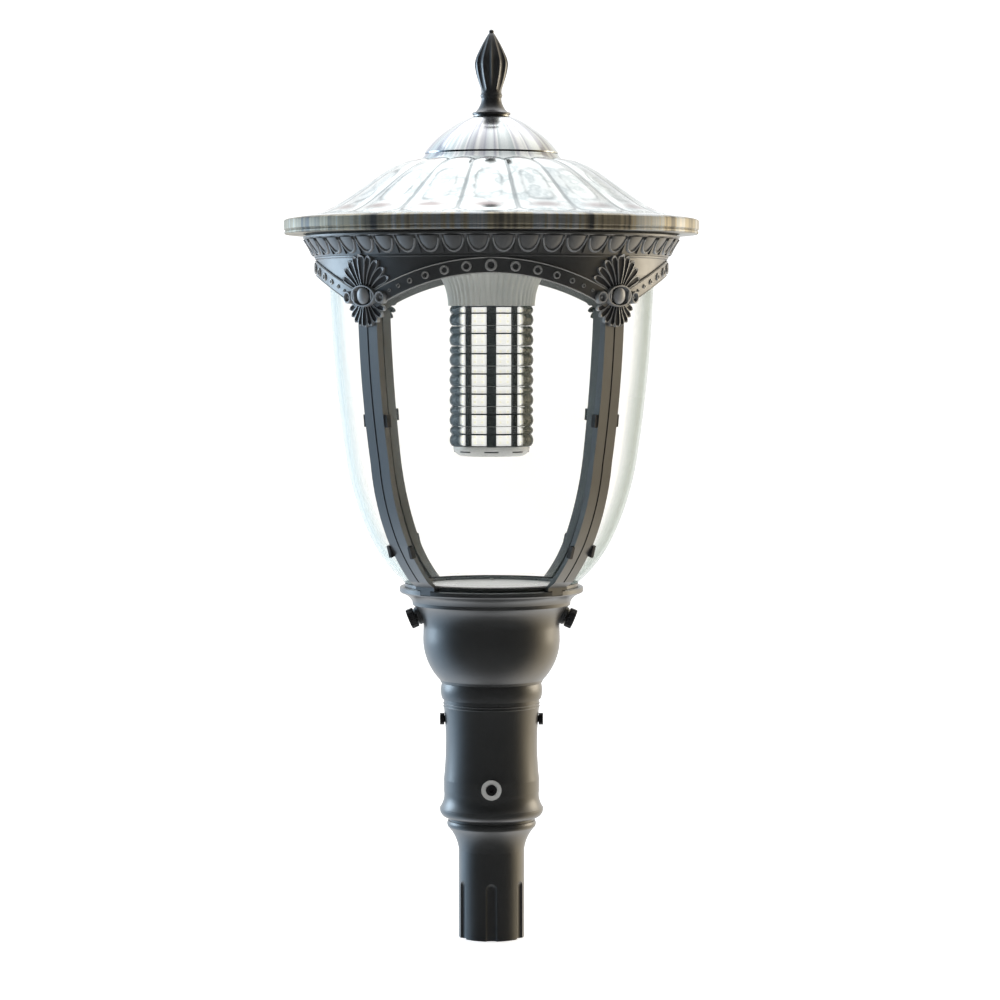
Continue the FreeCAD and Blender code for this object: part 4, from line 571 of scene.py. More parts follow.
# painted glow on the diodes
GLOWING_CHIP = SatinFinish("led_phosphor_glowing", (0.93, 0.88, 0.66), (0.98, 0.95, 0.8), 0.0, 0.2, 0.3, 200.0, glow=0.75)
SEAM = SatinFinish("lamp_seam", (0.012, 0.012, 0.014), (0.03, 0.03, 0.032), 0.0, 0.4, 0.55, 80.0)
TRAY = SatinFinish("tray_enamel", (0.72, 0.73, 0.74), (0.82, 0.83, 0.84), 0.0, 0.3, 0.4)
ZINC = SatinFinish("zinc_plate", (0.5, 0.5, 0.49), (0.66, 0.66, 0.64), 1.0, 0.28, 0.42, 140.0)
BLACKENED = SatinFinish("blackened_steel", (0.03, 0.03, 0.032), (0.07, 0.07, 0.072), 0.8, 0.3, 0.42, 160.0)
KNOB = SatinFinish("knob_plastic", (0.012, 0.012, 0.013), (0.03, 0.03, 0.032), 0.0, 0.3, 0.45, 120.0)
BRASS = SatinFinish("brass_screw", (0.62, 0.47, 0.2), (0.78, 0.62, 0.3), 1.0, 0.25, 0.4, 180.0)
RUBBER = SatinFinish("gasket_rubber", (0.02, 0.02, 0.02), (0.04, 0.04, 0.04), 0.0, 0.6, 0.8, 90.0)
CASE = SatinFinish("case_plastic", (0.74, 0.74, 0.72), (0.86, 0.86, 0.84), 0.0, 0.4, 0.55, 70.0)

CARRIED = {
    SCREW_SEAT: ("lower_screw_seats",),
    LIT_CROWN_PAINT: ("crown_ring",),
    GRAPHITE: ("post_head", "neck_collar", "cup", "cage_base_ring", *("rib_" + side for side in SIDES)),
    BOWL_CLEAR: ("bowl",),
    ROOF_REFLECTIONS: ("roof_cap",),
    CAP_WHITE: ("lamp_end_cap",),
    SEAM: ("lamp_core",),
    TRAY: ("lamp_tray", "retaining_ring", "cup_cover", "driver_tray"),
    ZINC: ("collar_bolts", "tray_screws", "cover_screws", "rib_foot_screws", "rib_top_screws",
           "retaining_screws", "lamp_tray_screws", "lamp_bolts", "end_cap_screws", "roof_tie_rod",
           "tie_rod_nuts", "left_clamp_washer", "right_clamp_washer", "finial_washer"),
    BLACKENED: ("upper_set_screws", "lower_set_screws"),
    KNOB: ("left_clamp_screw", "right_clamp_screw", "bowl_clips", "cable_gland"),
    BRASS: ("earth_screw",),
    RUBBER: ("bowl_foot_gasket", "bowl_flange_gaskets", "lead_grommet", "roof_gasket"),
    CASE: ("led_driver", "terminal_block"),
}


@cache
def material_of(finish: Finish) -> bpy.types.Material:
    """The material of a finish, built once."""
    return finish.build()


# ---- mesh helpers


def polar(angle: float, radius: float, up: float) -> Vector:
    """A point at an angle in degrees round the axis."""
    turn = math.radians(angle)
    return Vector((radius * math.cos(turn), radius * math.sin(turn), up))


def spun(profile: Profile, steps: int, ring: bool = False) -> Mesh:
    """Turns a profile about the upright axis.

    Args:
        profile: (radius, height) points in millimetres.
        steps: how many steps make the full turn.
        ring: joins the last point to the first.

    Returns:
        The turned mesh, its faces outwards.
    """
    bm = bmesh.new()
    points = [bm.verts.new((radius * MM, 0, up * MM)) for radius, up in profile]
    pairs = list(zip(points, points[1:]))
    if ring:
        pairs.append((points[-1], points[0]))
    edges = [bm.edges.new(pair) for pair in pairs]
    bmesh.ops.spin(bm, geom=points + edges, cent=(0, 0, 0), axis=(0, 0, 1), dvec=(0, 0, 0),
                   angle=FULL_TURN, steps=steps, use_merge=True, use_duplicate=False)
    bmesh.ops.remove_doubles(bm, verts=bm.verts[:], dist=1e-6)
    bmesh.ops.recalc_face_normals(bm, faces=bm.faces[:])
    return bm


def smooth_curve(points: Profile, pieces: int) -> list[tuple[float, float]]:
    """A smooth line through the points.

    Args:
        points: (radius, height) points.
        pieces: short lines between two points.

    Returns:
        The points of the line.
    """
    line = []
    ends = [points[0], *points, points[-1]]
    for a, b, c, d in zip(ends, ends[1:], ends[2:], ends[3:]):
        for t in (k / pieces for k in range(pieces)):
            line.append(tuple(0.5 * (2 * b[i] + (c[i] - a[i]) * t
                                     + (2 * a[i] - 5 * b[i] + 4 * c[i] - d[i]) * t ** 2
                                     + (3 * b[i] - a[i] - 3 * c[i] + d[i]) * t ** 3) for i in (0, 1)))
    line.append(tuple(points[-1]))
    return line


def radius_at(profile: Profile, height: float) -> float:
    """The radius of a profile at a height, by straight lines between its points.

    Args:
        profile: (radius, height) points, going up.
        height: where the radius is wanted.

    Returns:
        The radius.
    """
    for (low_radius, low), (high_radius, high) in zip(profile, profile[1:]):
        if height <= high:
            share = max(0.0, (height - low) / (high - low))
            return low_radius + (high_radius - low_radius) * share
    return profile[-1][0]


def moved(bm: Mesh, x: float = 0.0, y: float = 0.0, z: float = 0.0) -> Mesh:
    """The same mesh, moved by millimetres."""
    bmesh.ops.translate(bm, verts=bm.verts[:], vec=Vector((x, y, z)) * MM)
    return bm


def turned(bm: Mesh, degrees: float, axis: str = "Z") -> Mesh:
    """The same mesh, turned about an axis through the origin."""
    bmesh.ops.rotate(bm, verts=bm.verts[:], cent=(0, 0, 0),
                     matrix=Matrix.Rotation(math.radians(degrees), 3, axis))
    return bm


def scaled(bm: Mesh, x: float, y: float, z: float) -> Mesh:
    """The same mesh, scaled from the origin."""
    bmesh.ops.scale(bm, verts=bm.verts[:], vec=(x, y, z))
    return bm


def faced_out(bm: Mesh) -> Mesh:
    """Turns the faces of a flat relief towards +Y.

    Args:
        bm: the relief.

    Returns:
        The same mesh.
    """
    bmesh.ops.recalc_face_normals(bm, faces=bm.faces[:])
    if sum(face.normal.y for face in bm.faces) < 0:
        bmesh.ops.reverse_faces(bm, faces=bm.faces[:])
    return bm


def block(x: float, y: float, z: float, bevel: float = 0.0, segments: int = 1) -> Mesh:
    """A box round the origin, all sizes in millimetres.

    Args:
        x: its width.
        y: its depth.
        z: its height.
        bevel: size of its bevelled edges, 0 for sharp ones.
        segments: steps across a bevel.

    Returns:
        The box.
    """
    bm = bmesh.new()
    bmesh.ops.create_cube(bm, size=MM)
    scaled(bm, x, y, z)
    if bevel:
        bmesh.ops.bevel(bm, geom=bm.edges[:], offset=bevel * MM, affect="EDGES", segments=segments,
                        profile=0.5, material=-1)
    return bm


def ball(radius: float, segments: int) -> Mesh:
    """A sphere round the origin.

    Args:
        radius: its radius in millimetres.
        segments: steps round it, twice the steps from pole to pole.

    Returns:
        The sphere.
    """
    bm = bmesh.new()
    bmesh.ops.create_uvsphere(bm, u_segments=segments, v_segments=segments // 2, radius=radius * MM)
    return bm


def square_ring(inner: float, outer: float, low: float, high: float) -> Mesh:
    """A ring of square section round the upright axis, sizes in millimetres."""
    return spun(((inner, low), (outer, low), (outer, high), (inner, high)), 64, ring=True)


def absorb(target: Mesh, part: Mesh) -> None:
    """Moves a part into the target mesh.

    Args:
        target: the mesh that grows.
        part: the mesh that is used up.
    """
    mesh = bpy.data.meshes.new("part")
    part.to_mesh(mesh)
    part.free()
    target.from_mesh(mesh)
    bpy.data.meshes.remove(mesh)


def laid_on(part: Mesh, angle: float, surface: Callable[[float], float]) -> Mesh:
    """Lays a flat relief on a turned surface: x runs round it, y outwards, z up.

    Args:
        part: the relief, in metres.
        angle: where its middle goes, in degrees.
        surface: the surface's radius in metres at a height.

    Returns:
        The same mesh, bent.
    """
    for vert in part.verts:
        side, out, up = vert.co
        radius = surface(up)
        vert.co = polar(angle + math.degrees(side / radius), radius + out, up)
    return part


def shown(name: str, data: bpy.types.ID) -> bpy.types.Object:
    """Puts a new object in the scene.

    Args:
        name: the object's name.
        data: its mesh, light or camera.

    Returns:
        The object.
    """
    item = bpy.data.objects.new(name, data)
    bpy.context.scene.collection.objects.link(item)
    return item


def aim(item: bpy.types.Object, spot: Sequence[float], target: Sequence[float]) -> None:
    """Puts a lamp or camera at a spot and points it at a target."""
    item.location = spot
    item.rotation_euler = (Vector(target) - Vector(spot)).to_track_quat("-Z", "Y").to_euler()


def add_piece(bm: Mesh, name: str, finishes: Sequence[Finish], stands_for: Iterable[str] = (),
              body: Body = Body.LANTERN) -> None:
    """Makes a finished piece of a mesh.

    Args:
        bm: the mesh, used up here.
        name: the piece's name.
        finishes: one finish for each material number of the mesh.
        stands_for: the frame's nodes that the piece replaces.
        body: the body it rides on.
    """
    mesh = bpy.data.meshes.new(name)
    bm.to_mesh(mesh)
    bm.free()
    mesh.shade_smooth()
    mesh.set_sharp_from_angle(angle=math.radians(SHARP_EDGE))
    for finish in finishes:
        mesh.materials.append(material_of(finish))
    piece = shown(name, mesh)
    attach(piece, body.value)
    nodes = tuple(stands_for)
    if nodes:
        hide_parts(*nodes)
    LOG.info("%s: %d faces on %s", name, len(mesh.polygons), body.value)


def ring_boss(outer: float, inner: float, height: float, stretch: float = 1.0, steps: int = 20) -> Mesh:
    """A round or oval rolled ring that stands out along +Y.

    Args:
        outer: outer radius in millimetres, upright.
        inner: radius of its hollow.
        height: how far it stands out.
        stretch: its width over its height.
        steps: how many steps make the full turn.

    Returns:
        The ring, round the origin.
    """
    middle = (outer + inner) / 2
    bm = spun(((outer, -height), (outer, height * 0.5), (middle + (outer - middle) * 0.6, height * 0.95),
               (middle, height), (middle + (inner - middle) * 0.6, height * 0.95), (inner, height * 0.5),
               (inner * 0.96, -height * 0.2), (0.0, -height * 0.3)), steps)
    return scaled(turned(bm, -90, "X"), stretch, 1, 1)


def leaf(path: Callable[[float], Vector], half_width: Callable[[float], float], rim: float,
         lift: float) -> Mesh:
    """A hollow leaf with a raised rim, along a path in the XZ plane.

    Args:
        path: the middle line, from 0 at the root to 1 at the tip, in millimetres.
        half_width: its half width along the path, in millimetres.
        rim: height of the rim over the hollow.
        lift: height of the hollow over the ground.

    Returns:
        The leaf, with its hollow in the second material, which takes painted shade.
    """
    bm = bmesh.new()
    bmesh.ops.create_grid(bm, x_segments=8, y_segments=12, size=1.0)
    # the hollow's faces take the painted shade
    for face in bm.faces:
        centre = face.calc_center_median()
        face.material_index = 1 if abs(centre.x) < 0.7 and centre.y < 0.86 else 0
    for vert in bm.verts:
        across, along = vert.co.x, (vert.co.y + 1) / 2
        ahead = path(min(1.0, along + 0.02)) - path(max(0.0, along - 0.02))
        aside = Vector((ahead.z, 0, -ahead.x)).normalized()
        spot = path(along) + aside * across * half_width(along)
        edge = max(abs(across), 1 - (1 - along) * 4)
        out = lift + rim * min(1.0, max(0.0, (edge - 0.45) / 0.4)) ** 1.5 - 0.9 * max(0.0, edge - 0.86) / 0.14
        vert.co = Vector((spot.x, out, spot.z)) * MM
    faced_out(bm)
    sides = bmesh.ops.extrude_edge_only(bm, edges=[edge for edge in bm.edges if edge.is_boundary])["geom"]
    for item in sides:
        if isinstance(item, bmesh.types.BMVert):
            item.co.y = -0.0015
    return bm


# ---- crown


@dataclass
class Crown:
    """Ornament on the crown ring: eggs and darts, arch edges and studs, palmettes."""

    foot: float
    skirt: Profile = ((193.2, -22), (194, 0), (195, 13), (198.5, 37), (199.5, 56), (201.5, 58.6),
                      (203, 58.7), (206.5, 67), (213.6, 78.6), (215.6, 82.5))
    eggs: int = 48
    egg_low: float = 60.2
    egg_section: Profile = ((0.0, 2.3), (0.3, 2.15), (0.55, 1.75), (0.74, 1.1), (0.82, 0.55), (0.86, 1.0),
                            (0.9, 2.1), (0.95, 2.2), (0.99, 1.2), (1.0, -1.5))
    egg_high: float = 78.4
    egg_half_width: float = 12.7
    dart_foot: float = 3.6
    dart_tip: float = 0.6
    dart_height: float = 13.0
    arch_radius: float = 235
    arch_top: float = 37.5
    band_width: float = 18
    band_relief: float = 1.8
    stud_places: Profile = ((0, 13.7), (26.6, 11.6), (50.7, 10.6), (71.6, 8.8), (88.7, 6.4), (101.4, 4.8),
                            (111.4, 3.6))
    boss_up: float = 13.4
    fans: tuple[tuple[int, float, float], ...] = ((1, 15.2, 46.0), (-1, 15.6, 34.5))
    edge_half: float = 0.9
    edge_rise: float = 1.1
    edge_sunk: float = 0.3
    edge_reach: tuple[float, float] = (117.0, 133.0)
    beads: Sequence[Profile] = (((201.0, 56.2), (202.1, 56.6), (202.3, 57.4), (202.1, 58.3), (201.0, 58.7)),
                                ((212.5, 78.7), (214.4, 79.0), (214.8, 79.9), (214.4, 80.7), (212.5, 81.0)))

    def surface(self, up: float) -> float:
        """Radius of the skirt and cove at a height, both in metres."""
        return radius_at(self.skirt, up / MM - self.foot) * MM

    def build(self) -> None:
        """Builds every ornament."""
        self.egg_row()
        self.cove_beads()
        self.arch_edges()
        self.studs()
        for side, angle in SIDES.items():
            self.palmette(side, angle)

    def egg(self) -> Mesh:
        """One tongue with a thin raised rim, hanging from the top of the cove.

        Returns:
            The tongue, flat in the XZ plane, its rim in the second material, which takes a painted highlight.
        """
        bm = bmesh.new()
        rows = len(self.egg_section) - 1
        bmesh.ops.create_grid(bm, x_segments=18, y_segments=rows, size=1.0)
        rim = next(2 * k / rows - 1 for k, (share, _) in enumerate(self.egg_section) if share > 0.85)
        # the rim's faces take the painted highlight
        for face in bm.faces:
            centre = face.calc_center_median()
            face.material_index = int(centre.y > rim and abs(centre.x) < 0.94)
        for vert in bm.verts:
            side = abs(vert.co.x)
            angle = (vert.co.x - 1) * math.pi / 2
            share, out = self.egg_section[round((vert.co.y + 1) / 2 * rows)]
            if share > 0.9:
                out -= 1.2 * (1 - min(1.0, (1 - side) * 8))
            down = (self.egg_high - self.egg_low) * share * math.sin(angle)
            across = self.egg_half_width * share * math.cos(angle)
            vert.co = Vector((across, out, self.foot + self.egg_high + down)) * MM
        bmesh.ops.remove_doubles(bm, verts=bm.verts[:], dist=1e-6)
        return faced_out(bm)

    def egg_row(self) -> None:
        """Tongues and darts all round the cove."""
        row = bmesh.new()
        step = 360 / self.eggs
        for k in range(self.eggs):
            absorb(row, laid_on(self.egg(), FRONT + step * (k + 0.5), self.surface))
            dart = bmesh.new()
            bmesh.ops.create_cone(dart, cap_ends=True, segments=4, radius1=self.dart_foot * MM,
                                  radius2=self.dart_tip * MM, depth=self.dart_height * MM)
            scaled(turned(dart, 45), 1, 0.55, 1)
            moved(dart, y=0.2, z=self.foot + self.egg_low + self.dart_height / 2)
            absorb(row, laid_on(dart, FRONT + step * k, self.surface))
        add_piece(row, "egg_and_dart_row", (LIT_CROWN_PAINT, RAISED_HIGHLIGHT))

    def cove_beads(self) -> None:
        """A thin rolled line under and over the row of tongues."""
        lines = bmesh.new()
        for bead in self.beads:
            absorb(lines, spun(bead, 144, ring=True))
        add_piece(moved(lines, z=self.foot), "cove_beads", (LIT_CROWN_PAINT,))

    def arch_spot(self, across: float, arch: float, out: float) -> Vector:
        """A point of an arch, in front of the lantern.

        Args:
            across: millimetres to the right of the arch's middle.
            arch: radius of the arch through the point.
            out: millimetres outside the skirt.

        Returns:
            The point, in metres.
        """
        up = self.arch_top - self.arch_radius + math.sqrt(arch ** 2 - across ** 2)
        radius = radius_at(self.skirt, up) + out
        return Vector((across, -math.sqrt(radius ** 2 - across ** 2), self.foot + up)) * MM

    def arch_edges(self) -> None:
        """Thin raised edges along both sides of each arch band, in a lighter paint that is painted highlight.
        """
        edges = bmesh.new()
        arches = (self.arch_radius + self.edge_half, self.arch_radius + self.band_width - self.edge_half)
        for (arch, reach), quarter in product(zip(arches, self.edge_reach), range(4)):
            strip = bmesh.new()
            bmesh.ops.create_grid(strip, x_segments=48, y_segments=4, size=1.0)
            for vert in strip.verts:
                along, aside = vert.co.x, vert.co.y
                out = self.band_relief + self.edge_rise * math.cos(aside * math.pi / 2) - self.edge_sunk
                vert.co = self.arch_spot(along * reach, arch + aside * self.edge_half, out)
            absorb(edges, turned(strip, 90 * quarter))
        bmesh.ops.recalc_face_normals(edges, faces=edges.faces[:])
        bmesh.ops.solidify(edges, geom=edges.faces[:], thickness=0.0006)
        add_piece(edges, "arch_band_edges", (STUD_HIGHLIGHT,))

    def studs(self) -> None:
        """Ring studs along each arch, smaller towards its ends, in a lighter paint that is painted highlight.
        """
        studs = bmesh.new()
        middle = self.arch_radius + self.band_width / 2
        for quarter, (across, width) in product(range(4), self.stud_places):
            for place in ((-across, across) if across else (across,)):
                stud = ring_boss(width / 2, width * 0.27, 0.9 + width * 0.09)
                # the stud's hollow takes the painted shade
                for face in stud.faces:
                    centre = face.calc_center_median()
                    face.material_index = int(math.hypot(centre.x, centre.z) < width * 0.26 * MM)
                spot = self.arch_spot(place, middle, self.band_relief)
                turned(stud, math.degrees(math.atan2(spot.y, spot.x)) - 90)
                absorb(studs, turned(moved(stud, *(spot / MM)), 90 * quarter))
        add_piece(studs, "arch_studs", (STUD_HIGHLIGHT, HOLLOW_SHADE))

    @staticmethod
    def fan_leaf(way: int, lean: float, length: float, place: int) -> Mesh:
        """One leaf of a palmette.

        Args:
            way: 1 for a leaf that points up, -1 for one that points down.
            lean: degrees between two leaves.
            length: length of the middle leaf, in millimetres.
            place: 0 for the middle leaf, up to 4 to both sides.

        Returns:
            The leaf.
        """
        tilt = math.radians(lean * place)
        reach = length * (1 - 0.005 * place * place)
        root = Vector((9.0 * math.sin(tilt), 0, way * 7.0 * math.cos(tilt)))
        tip = Vector((reach * math.sin(tilt), 0, way * reach * math.cos(tilt)))
        bend = root * 0.5 + tip * 0.5 + Vector((-0.1 * tip.x, 0, way * 2.5))
        fullness = math.tan(math.radians(lean / 2)) * (1.25 if place == 0 else 1.02)

        def path(t: float) -> Vector:
            """A point of the leaf's bent middle line."""
            return root * (1 - t) ** 2 + bend * 2 * t * (1 - t) + tip * t ** 2

        def half_width(t: float) -> float:
            """Half the leaf's width, rounded off at its tip."""
            return path(t).length * fullness * math.sqrt(max(0.02, 1 - max(0.0, (t - 0.62) / 0.38) ** 2))

        return leaf(path, half_width, 2.2, 1.0 + 1.8 * (1 - abs(place) / 4))

    @staticmethod
    def boss() -> Mesh:
        """The oval boss in a palmette's middle, with a bar and a scroll eye at each side.

        Returns:
            The boss.
        """
        boss = ring_boss(12.2, 10.0, 4.6, 1.56, 40)
        absorb(boss, moved(scaled(ball(1.0, 24), 8.8, 4.6, 9.6), y=2.2))
        for side in (-1, 1):
            absorb(boss, moved(block(1.8, 5.0, 13.0, 0.6, 2), side * 13.8, 2.0))
            eye = ring_boss(7.0, 4.4, 4.0, 0.95, 24)
            absorb(eye, ball(2.2, 16))
            absorb(boss, moved(eye, side * 25.5, 1.0, -1.5))
        return moved(boss, y=2.4)

    def palmette(self, side: str, angle: float) -> None:
        """A fan of hollow leaves over a rib: nine up, nine down, boss and scroll eyes; rims and boss take a
        painted highlight, hollows painted shade.

        Args:
            side: which rib it covers.
            angle: its place in degrees.
        """
        fan = bmesh.new()
        for way, lean, length in self.fans:
            for place in sorted(range(-4, 5), key=abs, reverse=True):
                absorb(fan, self.fan_leaf(way, lean, length, place))
        absorb(fan, self.boss())
        laid_on(moved(fan, z=self.foot + self.boss_up), angle, self.surface)
        add_piece(fan, "palmette_leaves_" + side, (RAISED_HIGHLIGHT, HOLLOW_SHADE),
                  ("palmette_" + side,))


# ---- roof and finial


@dataclass
class Roof:
    """Polished canopy with eighteen lobes and a streaked rim."""

    base: float
    rise: float = 2.5
    wall: float = 3.0
    known: Profile = ((206, 22), (165, 41.5), (121, 72), (84, 85.5))
    seat: float = 76.0
    seat_up: float = 92.0
    hole: float = 6.0
    hollow: float = 206.2
    steps_per_lobe: int = 16
    rows: int = 40
    rim: Profile = ((236.1, 0.0), (236.9, 1.0), (236.9, 2.6), (235.9, 3.6), (236.2, 4.4), (237.4, 5.4),
                    (237.4, 15.0), (236.8, 16.0), (235.0, 16.8), (228.0, 18.0), (213.0, 20.4))

    @property
    def outer(self) -> float:
        """Radius at the lobes' feet, in millimetres."""
        return self.known[0][0]

    @property
    def inner(self) -> float:
        """Radius at the lobes' heads, in millimetres."""
        return self.known[-1][0]

    def crest(self, radius: float) -> float:
        """Height of a lobe's crest above the rim's foot, on the curve through the known points.

        Args:
            radius: millimetres from the axis.

        Returns:
            The height in millimetres.
        """
        total = 0.0
        for x, y in self.known:
            weight = 1.0
            for other, _ in self.known:
                if other != x:
                    weight *= (radius - other) / (x - other)
            total += weight * y
        return total

    def lobe(self, radius: float, angle: float) -> float:
        """How high a lobe stands over its groove.

        Args:
            radius: millimetres from the axis.
            angle: radians round the axis.

        Returns:
            From 0 in a groove to 1 on a crest.
        """
        share = ((angle - FIRST_GROOVE) * LOBES / FULL_TURN) % 1.0 - 0.5
        foot = min(1.0, max(0.0, (radius - (self.outer - 15)) / 15))
        head = min(1.0, max(0.0, ((self.inner + 7) - radius) / 7))
        width = math.sqrt(max(0.0, 1 - 0.92 * foot ** 2.4)) * math.sqrt(max(0.0, 1 - 0.9 * head ** 2.4))
        if width < 1e-3:
            return 0.0
        return max(0.0, 1 - (2 * share / width) ** 2) ** 0.75 * min(1.0, width * 1.6)

    def section(self) -> Profile:
        """The canopy's section without lobes: rim, dome, seat of the cap, and back underneath.

        Returns:
            (radius, height) points in millimetres.
        """
        radii = [self.outer + (self.inner - self.outer) * (k / self.rows) for k in range(self.rows + 1)]
        dome = [(radius, self.crest(radius) - self.rise) for radius in radii]
        seat_foot = self.seat_up - self.wall
        top = [(self.seat + 1.5, self.seat_up - 2.5), (self.seat + 0.6, self.seat_up - 0.5),
               (self.seat, self.seat_up), (self.hole, self.seat_up), (self.hole, seat_foot),
               (self.seat - 2, seat_foot)]
        under = [(radius, up - self.wall * 1.35) for radius, up in reversed(dome)]
        return [*self.rim, *dome, *top, *under, (self.hollow, under[-1][1] - 4), (self.hollow, 0.0)]

    def build(self) -> None:
        """Builds the canopy."""
        bm = spun(self.section(), LOBES * self.steps_per_lobe, ring=True)
        rim_radius, rim_top = self.rim[-1]
        for vert in bm.verts:
            radius = math.hypot(vert.co.x, vert.co.y)
            if self.inner * MM <= radius <= self.outer * MM + 1e-6 and vert.co.z > rim_top * MM:
                if vert.co.z > (self.crest(radius / MM) - self.rise - 0.6) * MM:
                    vert.co.z += self.rise * MM * self.lobe(radius / MM, math.atan2(vert.co.y, vert.co.x))
        for face in bm.faces:
            centre = face.calc_center_median()
            outside = math.hypot(centre.x, centre.y) > rim_radius * MM and centre.z < self.rim[-2][1] * MM
            face.material_index = int(outside)
        add_piece(moved(bm, z=self.base), "lobed_canopy", (ROOF_REFLECTIONS, RIM_REFLECTIONS), ("roof_canopy",),
                  Body.ROOF)


@dataclass
class Finial:
    """Turned finial with a twelve-flute bulb."""

    base: float
    flutes: int = 12
    flute_share: float = 0.13
    bulb_low: float = 26.0
    bulb_high: float = 92.0
    outline: Profile = ((5.1, 0.0), (21.6, 0.0), (21.9, 1.2), (21.5, 2.6), (18.6, 3.4), (15.6, 6.6),
                        (13.4, 10.6), (12.0, 14.4), (11.4, 18.4), (12.0, 20.0), (12.7, 22.0), (12.0, 24.0),
                        (11.6, 26.2), (12.2, 30.4), (14.4, 37.0), (16.6, 44.0), (18.2, 51.0), (19.0, 57.0),
                        (18.6, 61.0), (17.2, 66.0), (15.0, 71.0), (12.4, 76.5), (9.6, 82.0), (6.8, 87.0),
                        (4.4, 91.0), (2.8, 93.2), (2.9, 95.0), (1.9, 96.8), (0.0, 97.4))

    def build(self) -> None:
        """Builds the finial."""
        body = [self.outline[0], *smooth_curve(self.outline[1:], 3)]
        bm = spun(body, self.flutes * 10)
        for vert in bm.verts:
            up = vert.co.z / MM
            if self.bulb_low < up < self.bulb_high:
                share = math.sin(math.pi * (up - self.bulb_low) / (self.bulb_high - self.bulb_low)) ** 0.5
                ridge = abs(math.sin(math.atan2(vert.co.y, vert.co.x) * self.flutes / 2)) ** 0.7
                vert.co.x *= 1 - self.flute_share * share * ridge
                vert.co.y *= 1 - self.flute_share * share * ridge
        add_piece(moved(bm, z=self.base), "fluted_finial", (GRAPHITE,), ("finial",), Body.FINIAL)


# ---- lamp


